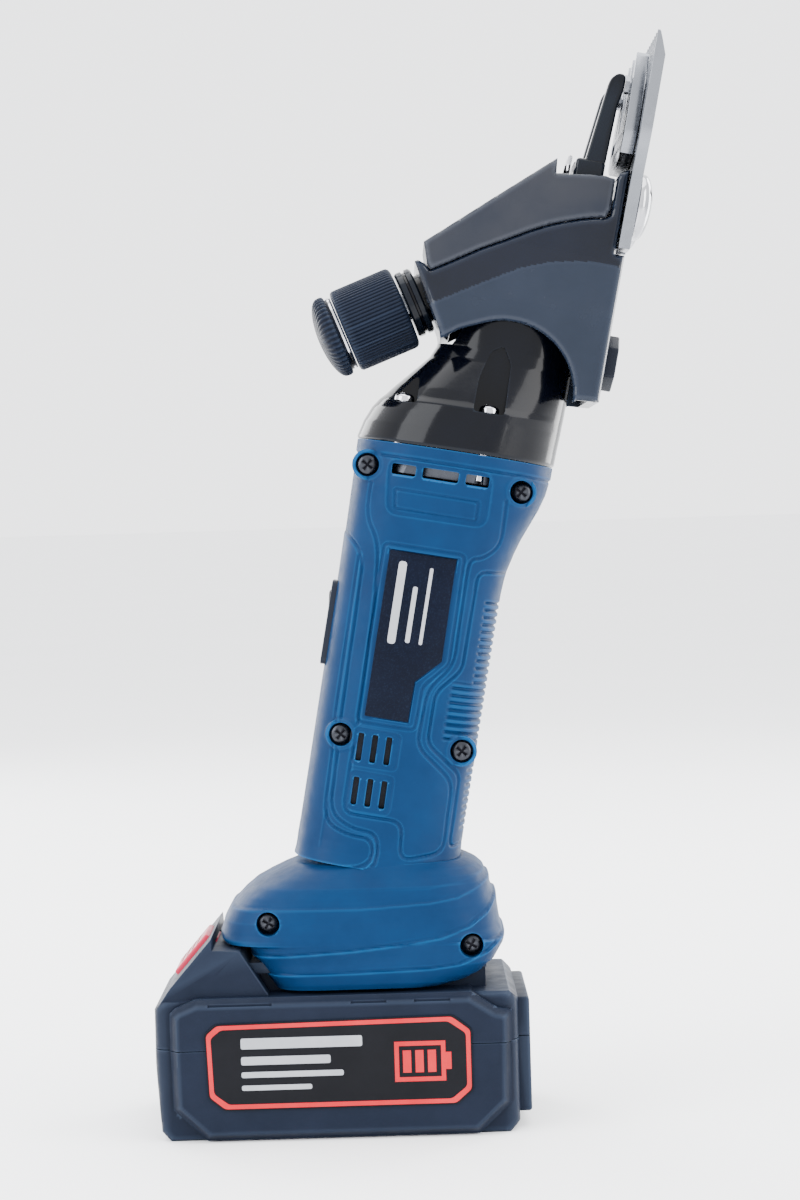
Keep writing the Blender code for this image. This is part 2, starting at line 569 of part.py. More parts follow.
def top_cover():
    lower = [(n, v + GAP) for n, v in SEAM]
    outline = bed_outline([(7.0, 38.0), (6.9, 47.5), (10.2, 48.1), (18.2, 47.3), (25.6, 46.1), (26.1, 50.9),
                           (63.1, 18.2), (60.9, 11.6)] + lower[::-1])
    body = flat("top_cover", BED, [outline], -HEAD_HALF_Y, HEAD_HALF_Y, shader=BLACK_SATIN)
    combine(body, head_plan("cover_plan"), "INTERSECT")
    room = bed_outline([(0.0, 20.0), (0.0, 60.0), (22.0, 60.0), (22.0, 50.3), (27.0, 46.2), (60.0, 17.0),
                        (56.5, 10.5), (52.0, 5.0), (30.0, 5.0)])
    cut(body, flat("cover_room", BED, [room], -23.5, 23.5),
        box("yoke_room", BED, (-21.6, 2.0), (-26.6, 26.6), (44.0, 60.0)),
        cylinder("sleeve_notch", TENSION, 8.4, 4.0, 30.0))


def comb():
    """Comb with pointed teeth, two slots for its screws, and the two domed screws."""
    outer = COMB_THICKNESS - COMB_FACE
    pitch = (2.0 * COMB_HALF_WIDTH - 3.0) / (COMB_TEETH - 1)
    outline = [(-30.0, 26.0), (30.0, 26.0), (32.5, 48.0), (37.0, 60.0)]
    wide, narrow = 1.45, 1.05
    for number in range(COMB_TEETH):
        y = ((COMB_TEETH - 1) / 2.0 - number) * pitch
        outline += [(y + wide, COMB_ROOT_V), (y + narrow, COMB_TIP_V - 3.0), (y, COMB_TIP_V),
                    (y - narrow, COMB_TIP_V - 3.0), (y - wide, COMB_ROOT_V)]
    outline += [(-37.0, 60.0), (-32.5, 48.0)]
    plate = flat("comb", BED, [outline], -COMB_FACE, outer, "YZ", GROUND_STEEL)
    relief = bed_outline([(-1.1, 86.1), (1.9, 94.6), (1.9, 100.0), (-10.0, 100.0), (-10.0, 86.1)])
    cut(plate, flat("tip_relief", BED, [relief], -60.0, 60.0))
    seat = outer + GAP
    profile = [(0.0, 6.3), (4.0, 5.9), (8.0, 4.2), (10.6, 2.4), (10.6, seat), (2.5, seat),
               (2.5, -6.0), (0.0, -6.0)]
    for number, y in enumerate(COMB_SCREW_Y, start=1):
        slot = [(y - 3.1, 20.0), (y + 3.1, 20.0)] + arc(y, COMB_SCREW_V + 1.5, 3.1, 0.0, 180.0, 7)
        cut(plate, flat("comb_slot", BED, [slot], -20.0, 20.0, "YZ"))
        face_out = turned_to(at(BED, 0.0, y, COMB_SCREW_V), "Y", 90.0)
        turned("comb_screw_%d" % number, face_out, profile, CHROME, 16)


def cutter():
    """Four-toothed cutter; its origin is on the fulcrum axis that it swings about."""
    plan = [(-25.0, 56.0), (-12.0, 53.2), (12.0, 53.2), (25.0, 56.0), (28.3, 62.0)]
    for number in range(CUTTER_TEETH):
        y = ((CUTTER_TEETH - 1) / 2.0 - number) * CUTTER_PITCH
        plan += [(y + 5.8, 66.0), (y + 1.2, 87.0), (y, 88.5), (y - 1.2, 87.0), (y - 5.8, 66.0)]
    plan += [(-28.3, 62.0)]
    local = [(y, v - PIVOT_V) for y, v in plan]
    swing = at(BED, 0.0, 0.0, PIVOT_V)
    blade = flat("cutter", swing, [local], -CUTTER_DEPTH, -COMB_FACE - GAP, "YZ", GROUND_STEEL)
    for y in FORK_TIP_Y:
        inward = turned_to(at(BED, 0.0, y, FORK_TIP_V), "Y", -90.0)
        cut(blade, cylinder("tip_hole", inward, 2.3, 1.0, 12.0, sides=16))
    return blade


def fork(blade):
    """Driving fork: rear cheeks on the crank roller, ball seat, beam, yoke and two arms."""
    swing = at(BED, 0.0, 0.0, PIVOT_V)
    beam = bed_outline([(26.6, -22.5), (33.6, -22.5), (33.8, -6.0), (23.5, 14.0), (18.6, 28.8), (18.8, 44.0),
                        (20.2, 50.4), (20.2, 53.2), (10.4, 53.2), (10.4, 46.0), (12.6, 28.0), (17.6, 12.0),
                        (25.0, -2.0), (25.0, -12.0)])
    local = [(x, v - PIVOT_V) for x, v in beam]
    body = flat("fork", swing, [local], -9.0, 9.0, shader=BLACK_PAINT)
    join(body,
         box("fork_yoke", BED, (-20.0, -10.6), (-21.0, 21.0), (46.5, 53.0)),
         box("fork_bridge", BED, (-34.0, -26.4), (-11.4, 11.4), (-24.6, -19.5)),
         cylinder("pin_boss", TENSION, 5.0, CONTACT_T, CONTACT_T + 7.0))
    arm = bed_outline([(17.2, 52.0), (14.0, 77.9), (13.3, 79.6), (11.6, 81.2), (9.6, 81.2), (8.9, 80.1),
                       (8.9, 76.2), (10.0, 71.0), (10.7, 52.0)])
    for side in (-1.0, 1.0):
        low, high = sorted((side * 13.0, side * 20.8))
        join(body, flat("fork_arm", BED, [arm], low, high))
        low, high = sorted((side * 8.4, side * 11.2))
        join(body, box("fork_cheek", BED, (-34.2, -26.6), (low, high), (-32.6, -22.0)))
    cut(body, ball("ball_seat", at(BED, -BALL_N, 0.0, PIVOT_V), BALL_R + 0.35))
    toe = [(0.0, 8.6), (2.9, 8.6), (2.9, 7.3), (1.9, 7.3), (1.9, 3.4), (0.0, 3.2)]
    for name, y in zip(("fork_tip_left", "fork_tip_right"), FORK_TIP_Y):
        inward = turned_to(at(BED, 0.0, y, FORK_TIP_V), "Y", -90.0)
        carry(body, turned(name, inward, toe, GROUND_STEEL, 10))
    wire = [(12.0, 45.2, -13.5), (20.2, 45.0, -13.5), (21.7, 46.6, -13.5), (21.7, 51.0, -12.5),
            (21.5, 54.0, -10.0), (21.5, 54.6, 0.0)]
    route = wire + [(n, v, -y) for n, v, y in reversed(wire[:-1])]
    spring = wire_tube("fork_spring", swing, [(-n, y, v - PIVOT_V) for n, v, y in route], 0.7, CHROME)
    carry(body, spring, blade)


def ball(name, matrix, radius, shader=None):
    bm = bmesh.new()
    bmesh.ops.create_uvsphere(bm, u_segments=12, v_segments=8, radius=radius * MM)
    return place(name, mesh_from(bm, name), matrix, shader)


def wire_tube(name, matrix, points, radius, shader):
    curve = bpy.data.curves.new(name, "CURVE")
    curve.dimensions = "3D"
    curve.bevel_depth = radius * MM
    curve.bevel_resolution = 1
    curve.use_fill_caps = True
    spline = curve.splines.new("POLY")
    spline.points.add(len(points) - 1)
    for point, (x, y, z) in zip(spline.points, points):
        point.co = (x * MM, y * MM, z * MM, 1.0)
    curve.materials.append(shader)
    piece = bpy.data.objects.new(name, curve)
    piece.matrix_world = matrix
    PARTS.objects.link(piece)
    return piece


def fulcrum():
    """Ball post through the underside of the head, held by a hexagon nut."""
    inward = turned_to(at(BED, 0.0, 0.0, PIVOT_V), "Y", -90.0)
    post = cylinder("fulcrum_post", inward, 4.0, -3.6, BALL_N - 2.0, GROUND_STEEL)
    join(post, ball("post_ball", at(inward, 0.0, 0.0, BALL_N), BALL_R))
    join(post, cylinder("post_collar", inward, 6.5, 3.8, 7.0))
    hexagon = arc(0.0, 0.0, 9.2, 0.0, 300.0, 6)
    hole = arc(0.0, 0.0, 4.3, 0.0, 345.0, 24)
    flat("fulcrum_nut", inward, [hexagon, hole], -4.6, -GAP, "XY", BLACK_SATIN)


def tension():
    """Sleeve in the head, sliding rod, knob with lock cap, and the pin that presses the fork."""
    sleeve = [(11.0, 0.6), (11.0, 6.1), (8.0, 6.1), (8.0, 26.0), (5.3, 26.0), (5.3, 0.6)]
    turned("tension_sleeve", TENSION, [(r, z) for r, z in reversed(sleeve)], BLACK_SATIN, 24)
    rod = cylinder("tension_rod", TENSION, 5.0, -20.8, 30.0, GROUND_STEEL)
    knob = ring("tension_knob", TENSION, 5.4, 13.75, -21.0, 0.0, NAVY_PLASTIC, 24)
    profile = [(0.0, -21.3), (12.0, -21.3), (12.0, -23.3), (13.5, -23.3), (13.5, -25.6), (12.0, -28.0),
               (7.0, -29.6), (0.0, -30.0)]
    cap = turned("tension_lock_cap", TENSION, profile, NAVY_PLASTIC, 24)
    length = CONTACT_T - PIN_PIVOT_T
    profile = [(0.0, length - 0.5), (1.4, length - 0.9), (2.2, length - 2.2), (2.2, 1.9), (1.4, 0.6),
               (0.0, 0.0)]
    pin = turned("tension_pin", at(TENSION, 0.0, 0.0, PIN_PIVOT_T), profile, GROUND_STEEL, 16)
    carry(rod, knob, pin)
    carry(knob, cap)


# ---------------------------------------------------------------- battery

def battery_cases():
    """Lower and upper halves of the battery's case; the upper one has the rail and the latch wedge."""
    body_low = [(-57.6, 40.0), (-57.6, 24.0), (-56.0, 3.0), (-53.0, 0.0), (54.0, 0.0), (57.2, 3.0),
                (57.4, 40.0)]
    panel_low = [(-52.5, 41.0), (-51.8, 10.5), (-41.3, 0.5), (44.2, 0.5), (54.4, 10.0), (55.2, 41.0)]
    lower = flat("battery_lower_case", BATTERY, [body_low], -BODY_HALF_Y, BODY_HALF_Y, shader=GREY_PLASTIC)
    join(lower, flat("lower_panel", BATTERY, [panel_low], -PANEL_HALF_Y, PANEL_HALF_Y),
         box("lower_end_ribs", BATTERY, (50.0, 61.2), (-26.0, 26.0), (5.0, 42.0)))
    cut(lower, box("above_seam", BATTERY, (-80.0, 80.0), (-60.0, 60.0), (SEAM_Z, 60.0)),
        box("lower_room", BATTERY, (-54.6, 52.0), (-31.8, 31.8), (2.5, 40.0)))
    body_top = [(-57.6, 20.0), (-57.4, 41.5), (-54.4, DECK_Z - 0.6), (54.6, DECK_Z - 0.6), (57.4, 42.0),
                (57.4, 20.0)]
    panel_top = [(-52.5, 19.0), (-52.2, 40.8), (-50.3, 42.6), (-44.0, DECK_Z), (42.4, DECK_Z), (50.6, 40.0),
                 (55.2, 39.0), (55.2, 19.0)]
    upper = flat("battery_upper_case", BATTERY, [body_top], -BODY_HALF_Y, BODY_HALF_Y, shader=GREY_PLASTIC)
    join(upper, flat("upper_panel", BATTERY, [panel_top], -PANEL_HALF_Y, PANEL_HALF_Y),
         box("upper_end_ribs", BATTERY, (50.0, 61.2), (-26.0, 26.0), (18.0, 41.4)),
         flat("wedge", BATTERY, [WEDGE], -32.0, 32.0),
         box("rail_neck", BATTERY, (-30.0, 47.6), (-22.0, 22.0), (43.8, 52.6)),
         box("rail_flange", BATTERY, (-31.0, 47.9), (-26.0, 26.0), (51.4, 54.8)))
    cut(upper, box("below_seam", BATTERY, (-80.0, 80.0), (-60.0, 60.0), (-20.0, SEAM_Z + GAP)),
        box("upper_room", BATTERY, (-54.6, 52.0), (-31.8, 31.8), (20.0, 42.8)))
    for x, y in BATTERY_SCREWS:
        spot = at(BATTERY, x, y)
        join(upper, cylinder("screw_column", spot, 2.8, 6.0, 43.6, sides=12))
        cut(upper, cylinder("column_hole", spot, 1.8, 0.0, 18.0, sides=8))
        cut(lower, cylinder("case_hole", spot, 1.8, -5.0, 10.0, sides=12),
            cylinder("head_hole", spot, 3.3, -5.0, 1.5, sides=16))
    cut(upper, box("button_pocket", release_frame(), (-9.0, 7.8), (-12.4, 12.4), (-9.0, 20.0)))
    return lower, upper


def release_frame():
    """Frame on the wedge's slope: local X up the slope, local Z out of it."""
    return turned_to(at(BATTERY, RELEASE_X, 0.0, RELEASE_Z), "Y", -SLOPE)


def battery_screws():
    profile = [(0.0, 16.0), (1.5, 16.0), (1.5, 1.2), (2.9, 1.2), (2.9, 0.4), (0.0, 0.4)]
    return [turned("battery_screw_%d" % number, at(BATTERY, x, y), profile, DARK_STEEL, 8)
            for number, (x, y) in enumerate(BATTERY_SCREWS, start=1)]


def cell_pack():
    """Two rows of five cells lying along Y, shrink-wrapped into one pack."""
    cells = []
    for row in range(2):
        for column in range(5):
            x = (column - 2.0) * CELL_PITCH - 0.4
            z = 12.6 + row * CELL_PITCH
            shader = None if cells else CELL_WRAP
            name = "cell" if cells else "cell_pack"
            cells.append(cross_bar(name, BATTERY, x, z, CELL_R, -31.4, 31.4, shader, 12))
    join(cells[0], *cells[1:])
    return cells[0]


def battery_terminals():
    block = box("battery_terminal_block", BATTERY, (10.0, 34.0), (-12.5, 12.5), (55.1, 59.0), NAVY_PLASTIC)
    for y in TERMINAL_Y:
        cut(block, box("blade_slot", BATTERY, (0.0, 50.0), (y - 1.2, y + 1.2), (56.2, 65.0)))
    return block


def release_button():
    """Sprung button on the wedge's slope, and the coil spring in its bore."""
    slope = release_frame()
    button = box("release_button", slope, (-8.6, 7.4), (-12.0, 12.0), (-4.6, 1.5), RED_PLASTIC)
    cut(button, cylinder("spring_bore", slope, 3.9, -10.0, -0.2))
    coils, steps = 3, 8
    points = []
    for step in range(coils * steps + 1):
        angle = 2.0 * math.pi * step / steps
        height = -8.3 + 4.2 * step / (coils * steps)
        points.append((3.0 * math.cos(angle), 3.0 * math.sin(angle), height))
    spring = wire_tube("latch_spring", slope, points, 0.35, CHROME)
    return button, spring


def battery_labels():
    label = [(-41.3, 34.6), (-37.9, 37.6), (36.6, 38.5), (42.4, 34.0), (42.4, 14.8), (37.4, 10.4),
             (-35.8, 10.4), (-40.6, 14.4)]
    near, far = PANEL_HALF_Y + GAP, PANEL_HALF_Y + 0.7
    return [flat("battery_label_front", BATTERY, [label], -far, -near, shader=LABEL_FILM),
            flat("battery_label_back", BATTERY, [label], near, far, shader=LABEL_FILM)]


def battery():
    """The pack that slides off the foot: everything in it follows its lower case."""
    lower, upper = battery_cases()
    carry(lower, upper, cell_pack(), battery_terminals(), *release_button(), *battery_labels(),
          *battery_screws())


def electronics():
    """Control board above the battery foot, and the blades that plug into the battery."""
    board = box("control_board", HANDLE, (-24.0, 14.0), (4.0, 5.6), (-128.0, -99.5), GREEN_BOARD)
    join(board, box("power_switch", HANDLE, (-6.0, 6.0), (-0.5, 4.6), (-118.0, -104.0)),
         cross_bar("capacitor", HANDLE, -15.0, -120.0, 4.0, -6.0, 4.5))
    block = box("tool_terminal_block", BATTERY, (8.0, 33.0), (-13.0, 13.0), (62.2, 68.0), NAVY_PLASTIC)
    for y in TERMINAL_Y:
        join(block, box("blade", BATTERY, (13.0, 32.0), (y - 0.6, y + 0.6), (56.8, 63.0)))


housing()
switch()
motor()
gear_plate()
crank()
gear_housing()
head_casting()
top_cover()
comb()
fork(cutter())
fulcrum()
tension()
battery()
electronics()

for part in PARTS.objects:
    if part.type == "MESH":
        part.data.shade_smooth()
        part.data.set_sharp_from_angle(angle=math.radians(35.0))
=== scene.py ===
"""Looks of the cordless sheep clipper: fine moulded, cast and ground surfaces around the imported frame.

Lengths are in millimetres in each local frame; MM turns them into metres.
Every piece is built straight in the row frame: +Z up, standing on z = 0, comb towards +X.
"""

import json
import math

import bmesh
import bpy
import numpy as np
from mathutils import Matrix, Vector


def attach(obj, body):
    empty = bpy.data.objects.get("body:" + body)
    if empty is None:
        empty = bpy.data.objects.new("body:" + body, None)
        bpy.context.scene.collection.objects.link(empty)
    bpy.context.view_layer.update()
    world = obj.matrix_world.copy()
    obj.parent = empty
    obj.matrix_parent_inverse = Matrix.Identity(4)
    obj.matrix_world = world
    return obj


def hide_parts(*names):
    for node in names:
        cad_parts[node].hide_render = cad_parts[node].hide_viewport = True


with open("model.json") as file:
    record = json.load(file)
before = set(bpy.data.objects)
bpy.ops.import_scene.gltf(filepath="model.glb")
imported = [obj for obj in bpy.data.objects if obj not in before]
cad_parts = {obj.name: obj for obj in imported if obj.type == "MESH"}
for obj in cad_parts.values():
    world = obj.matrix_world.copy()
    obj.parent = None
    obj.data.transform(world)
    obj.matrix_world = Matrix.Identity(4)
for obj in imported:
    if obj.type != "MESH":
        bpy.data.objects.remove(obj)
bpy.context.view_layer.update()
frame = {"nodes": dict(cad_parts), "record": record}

MM = 0.001
SCENE = bpy.context.scene

# ---------------------------------------------------------------- frames and driving sizes


def local_frame(x, z, tilt):
    """Frame in the XZ plane, leaning by tilt degrees towards +X."""
    return Matrix.Translation((x * MM, 0.0, z * MM)) @ Matrix.Rotation(math.radians(tilt), 4, "Y")


def at(matrix, x=0.0, y=0.0, z=0.0):
    """The same frame moved along its own axes."""
    return matrix @ Matrix.Translation((x * MM, y * MM, z * MM))


def turned_to(matrix, axis, degrees):
    """The same frame turned about one of its own axes."""
    return matrix @ Matrix.Rotation(math.radians(degrees), 4, axis)


HANDLE = local_frame(16.4, 214.5, 10.5)      # middle of the top collar, Z up the handle
BED = local_frame(66.2, 250.8, 11.5)         # underside of the head, Z up the comb, X out of it
TENSION = local_frame(1.4, 262.6, 68.7)      # inner end of the knob, Z into the head
BATTERY = local_frame(-26.8, 0.0, 0.0)       # under the middle of the battery

SIDES = (-1.0, 1.0)
FACES = ((-1.0, "front"), (1.0, "back"))     # sign of Y and name of the two broad sides
COLLAR_R = 32.25
PARTING = 0.04
CASE_SCREWS = [(-27.3, -8.1), (22.3, -9.4), (-22.6, -94.1), (16.3, -93.6)]
FOOT_SCREWS = [(-20.6, 67.7), (43.3, 59.2)]
CASE_SEAT_Y, FOOT_SEAT_Y, WELL_R = -17.5, -27.0, 3.75
HEAD_SCREWS = [(8.2, -25.0), (-18.8, -18.5), (8.2, 25.0), (-18.8, 18.5)]
BATTERY_SCREWS = [(-49.6, -24.0), (-49.6, 24.0), (48.9, -24.0), (48.9, 24.0)]
CRANK_U = 11.225
PIVOT_V = -8.2
SEAM_Z, DECK_Z = 29.0, 45.2
PANEL_HALF_Y = 37.5
COMB_FACE, COMB_THICKNESS = 2.6, 3.6
COMB_SCREW_V, COMB_SCREW_Y = 41.0, (-16.0, 16.0)
FORK_TIP_V, FORK_TIP_Y = 78.4, (-17.0, 17.0)
GAP = 0.3


def into_head(y, v, depth=0.0):
    """A frame on the bed whose Z points into the head."""
    return turned_to(at(BED, -depth, y, v), "Y", -90.0)


POST = into_head(0.0, PIVOT_V)


# ---------------------------------------------------------------- materials

def linked(tree, kind, **inputs):
    """A shader node with its inputs set to numbers, or linked where a socket is given."""
    node = tree.nodes.new(kind)
    for key, value in inputs.items():
        socket = node.inputs[key.replace("_", " ")]
        if isinstance(value, bpy.types.NodeSocket):
            tree.links.new(value, socket)
        else:
            socket.default_value = value
    return node


def noise(tree, grain_mm, stretch=(1.0, 1.0, 1.0), detail=3.0):
    """Noise of a real grain size, in millimetres, on the row frame's coordinates."""
    where = tree.nodes.new("ShaderNodeTexCoord").outputs["Object"]
    spread = linked(tree, "ShaderNodeMapping", Vector=where, Scale=stretch)
    return linked(tree, "ShaderNodeTexNoise", Vector=spread.outputs["Vector"],
                  Scale=1000.0 / grain_mm, Detail=detail, Roughness=0.6).outputs["Fac"]


def ranged(tree, value, low, high, start=0.3, end=0.7):
    """A noise value spread over the range from low to high."""
    node = linked(tree, "ShaderNodeMapRange", Value=value)
    node.inputs["From Min"].default_value = start
    node.inputs["From Max"].default_value = end
    node.inputs["To Min"].default_value = low
    node.inputs["To Max"].default_value = high
    return node.outputs["Result"]


MIX_COLOURS, MIX_RESULT = (6, 7), 2          # numbers of the mix node's colour sockets


def blended(tree, factor, first, second):
    """Two colours mixed by a factor; each is a socket or a red, green and blue triple."""
    node = tree.nodes.new("ShaderNodeMix")
    node.data_type = "RGBA"
    tree.links.new(factor, node.inputs["Factor"])
    for number, value in zip(MIX_COLOURS, (first, second)):
        if isinstance(value, bpy.types.NodeSocket):
            tree.links.new(value, node.inputs[number])
        else:
            node.inputs[number].default_value = (*value, 1.0)
    return node.outputs[MIX_RESULT]


def material(name, dark, light, roughness, metallic=0.0, patch_mm=14.0, grain_mm=0.35, grain_height=0.00002,
             stretch=(1.0, 1.0, 1.0), coat=0.0, coat_roughness=0.05, edge_highlight=None, specular=0.5, speck=None):
    """Colour drifting between two shades, uneven gloss, a fine surface grain, and a painted highlight: sharp
    edges take a lighter colour.
    """
    shader = bpy.data.materials.new(name)
    shader.use_nodes = True
    tree = shader.node_tree
    surface = tree.nodes["Principled BSDF"]
    surface.inputs["Metallic"].default_value = metallic
    surface.inputs["Specular IOR Level"].default_value = specular
    surface.inputs["Coat Weight"].default_value = coat
    surface.inputs["Coat Roughness"].default_value = coat_roughness
    drift = ranged(tree, noise(tree, patch_mm, detail=4.0), 0.0, 1.0)
    colour = blended(tree, drift, dark, light)
    grain = noise(tree, grain_mm, stretch)
    if speck:
        colour = blended(tree, ranged(tree, grain, 0.0, 0.8, 0.55, 0.75), colour, speck)
    # painted highlight: sharp edges, found by pointiness, are tinted towards a lighter colour
    if edge_highlight:
        highlight_pointiness = tree.nodes.new("ShaderNodeNewGeometry").outputs["Pointiness"]
        colour = blended(tree, ranged(tree, highlight_pointiness, 0.0, 0.8, 0.505, 0.56), colour, edge_highlight)
    tree.links.new(colour, surface.inputs["Base Color"])
    uneven = ranged(tree, noise(tree, patch_mm / 3.0, detail=5.0), *roughness)
    tree.links.new(uneven, surface.inputs["Roughness"])
    bump = linked(tree, "ShaderNodeBump", Height=grain, Distance=grain_height, Strength=1.0)
    tree.links.new(bump.outputs["Normal"], surface.inputs["Normal"])
    return shader


# The edge colours below are painted highlights on sharp edges.
BLUE = material("blue_moulded", (0.0008, 0.0138, 0.047), (0.0012, 0.0180, 0.059), (0.42, 0.55),
                grain_mm=0.45, grain_height=0.00003, edge_highlight=(0.006, 0.055, 0.150), specular=0.06)
GLOSS = material("black_gloss_paint", (0.0004, 0.0006, 0.0016), (0.0008, 0.0012, 0.0030), (0.10, 0.18),
                 patch_mm=30.0, grain_mm=2.5, coat=0.06, coat_roughness=0.04,
                 edge_highlight=(0.004, 0.006, 0.010), specular=0.10)
SATIN = material("black_satin", (0.0008, 0.0012, 0.0030), (0.0016, 0.0022, 0.0050), (0.30, 0.42),
                 grain_mm=0.5, edge_highlight=(0.009, 0.012, 0.020), specular=0.10)
HEAD = material("black_cast_paint", (0.0052, 0.0084, 0.0160), (0.0072, 0.0110, 0.0200), (0.16, 0.30),
                patch_mm=24.0, grain_mm=1.8, coat=0.10, coat_roughness=0.06,
                edge_highlight=(0.016, 0.022, 0.036), specular=0.14)
# painted shade: a darker copy of the cast paint for the leaning band above the crease
BAND_SHADE = material("band_painted_shade", (0.0008, 0.0016, 0.0046), (0.0014, 0.0026, 0.0070), (0.12, 0.24),
                patch_mm=24.0, grain_mm=1.8, coat=0.10, edge_highlight=(0.008, 0.012, 0.022), specular=0.14)
COVER = material("black_cover_paint", (0.0040, 0.0066, 0.0140), (0.0170, 0.0180, 0.0220), (0.30, 0.44),
                 patch_mm=55.0, grain_mm=0.6, edge_highlight=(0.030, 0.034, 0.044), specular=0.14)
KNOB = material("navy_knob", (0.0010, 0.0020, 0.0056), (0.0020, 0.0036, 0.0088), (0.38, 0.52),
                grain_mm=0.4, edge_highlight=(0.010, 0.015, 0.028), specular=0.07)
SLATE = material("slate_moulded", (0.0034, 0.0058, 0.0130), (0.0048, 0.0078, 0.0170), (0.42, 0.56),
                 grain_mm=0.5, grain_height=0.00003, edge_highlight=(0.018, 0.026, 0.044), specular=0.08)
CRIMSON = material("crimson_moulded", (0.210, 0.0006, 0.010), (0.280, 0.0012, 0.018), (0.28, 0.40),
                   grain_mm=0.6, grain_height=0.00001, coat=0.1, edge_highlight=(0.380, 0.015, 0.050), specular=0.12)
CORAL = material("coral_print", (0.360, 0.010, 0.016), (0.430, 0.018, 0.024), (0.30, 0.42),
                 grain_mm=0.3, grain_height=0.000006, specular=0.06)
CHARCOAL = material("charcoal_film", (0.0022, 0.0024, 0.0036), (0.0034, 0.0036, 0.0052), (0.28, 0.40),
                    grain_mm=0.25, grain_height=0.000006, specular=0.08)
PLATE = material("speckled_plate", (0.0006, 0.0014, 0.0052), (0.0012, 0.0024, 0.0080), (0.35, 0.48),
                 grain_mm=0.28, grain_height=0.00001, speck=(0.008, 0.014, 0.030), specular=0.06)
PALE = material("pale_print", (0.240, 0.250, 0.270), (0.290, 0.300, 0.320), (0.40, 0.50),
                grain_mm=0.3, grain_height=0.000006, specular=0.06)
GROUND = material("ground_steel", (0.036, 0.041, 0.054), (0.066, 0.073, 0.090), (0.20, 0.34), 1.0,
                  patch_mm=9.0, grain_mm=0.25, grain_height=0.000012, stretch=(0.12, 1.0, 0.12),
                  edge_highlight=(0.220, 0.230, 0.250))
CHROME = material("polished_bright", (0.22, 0.23, 0.25), (0.32, 0.32, 0.34), (0.06, 0.16), 1.0,
                  patch_mm=6.0, grain_mm=0.8, grain_height=0.000004, edge_highlight=(0.50, 0.50, 0.52))
DARK = material("blackened_steel", (0.004, 0.004, 0.006), (0.010, 0.010, 0.013), (0.24, 0.40), 1.0,
                patch_mm=4.0, grain_mm=0.4, grain_height=0.000008, edge_highlight=(0.045, 0.048, 0.056))
BOARD = material("green_board", (0.008, 0.090, 0.030), (0.014, 0.140, 0.050), (0.30, 0.45),
                 grain_mm=0.8, speck=(0.45, 0.38, 0.12))
WRAP = material("cell_wrap", (0.012, 0.160, 0.130), (0.020, 0.220, 0.190), (0.20, 0.32),
                grain_mm=1.5, coat=0.4)


# ---------------------------------------------------------------- mesh helpers

def add_mesh(name, points, faces, matrix, shader=None):
    """A piece made of points in millimetres, with its faces all turned outwards."""
    mesh = bpy.data.meshes.new(name)
    mesh.from_pydata((np.asarray(points, float) * MM).tolist(), [], faces)
    mesh.transform(matrix)
    bm = bmesh.new()
    bm.from_mesh(mesh)
    bmesh.ops.recalc_face_normals(bm, faces=bm.faces)
    bm.to_mesh(mesh)
    bm.free()
    piece = bpy.data.objects.new(name, mesh)
    SCENE.collection.objects.link(piece)
    if shader:
        mesh.materials.append(shader)
    return piece


def skin(name, rings, matrix, shader=None):
    """A closed skin over rings of points, given as an array of rows, columns and coordinates."""
    rows, columns = rings.shape[:2]
    index = np.arange(rows * columns).reshape(rows, columns)
    following = np.roll(index, -1, axis=1)
    quads = np.stack([index[:-1], following[:-1], following[1:], index[1:]], axis=-1).reshape(-1, 4)
    faces = quads.tolist() + [index[0].tolist(), index[-1].tolist()]
    return add_mesh(name, rings.reshape(-1, 3), faces, matrix, shader)


def prism(name, matrix, outline, low, high, across="Y", shader=None):
    """An outline in the plane across one local axis, extruded along that axis."""
    outline = np.asarray(outline, float)
    rings = np.zeros((2, len(outline), 3))
    flat_axes = {"X": (1, 2), "Y": (0, 2), "Z": (0, 1)}[across]
    rings[:, :, flat_axes[0]] = outline[:, 0]
    rings[:, :, flat_axes[1]] = outline[:, 1]
    rings[0, :, "XYZ".index(across)] = low
    rings[1, :, "XYZ".index(across)] = high
    return skin(name, rings, matrix, shader)


def rectangle(left, right, low, high):
    """The four corners of an upright rectangle."""
    return [(left, low), (right, low), (right, high), (left, high)]


def block(name, matrix, xs, ys, zs, shader=None):
    """A box between two values on each axis."""
    return prism(name, matrix, rectangle(*xs, *zs), *ys, "Y", shader)


def span(side, near, far):
    """The stretch from near to far on one side of the middle plane, low end first."""
    return sorted((side * near, side * far))


def lathe(name, matrix, profile, shader=None, sides=64, wave=None):
    """A solid of revolution about local Z; wave(radius, z, angle) may ripple its radius."""
    profile = np.asarray(profile, float)
    angles = np.linspace(0.0, 2.0 * math.pi, sides, endpoint=False)
    radius = np.maximum(profile[:, 0], 0.01)[:, None] * np.ones(sides)
    height = profile[:, 1][:, None] * np.ones(sides)
    if wave:
        radius = radius + wave(radius, height, angles)
    rings = np.stack([radius * np.cos(angles), radius * np.sin(angles), height], axis=-1)
    return skin(name, rings, matrix, shader)


def rod_along_y(name, matrix, x, z, profile, shader=None):
    """A solid of revolution whose axis runs along local Y."""
    return lathe(name, turned_to(at(matrix, x, 0.0, z), "X", -90.0), profile, shader, sides=40)


def bar(radius, low, high):
    """The profile of a plain rod."""
    return [(radius, low), (radius, high)]


def finished(piece):
    """Turn the modifiers of a piece into its mesh."""
    bpy.context.view_layer.update()
    mesh = bpy.data.meshes.new_from_object(piece.evaluated_get(bpy.context.evaluated_depsgraph_get()))
    piece.modifiers.clear()
    piece.data = mesh
    return piece


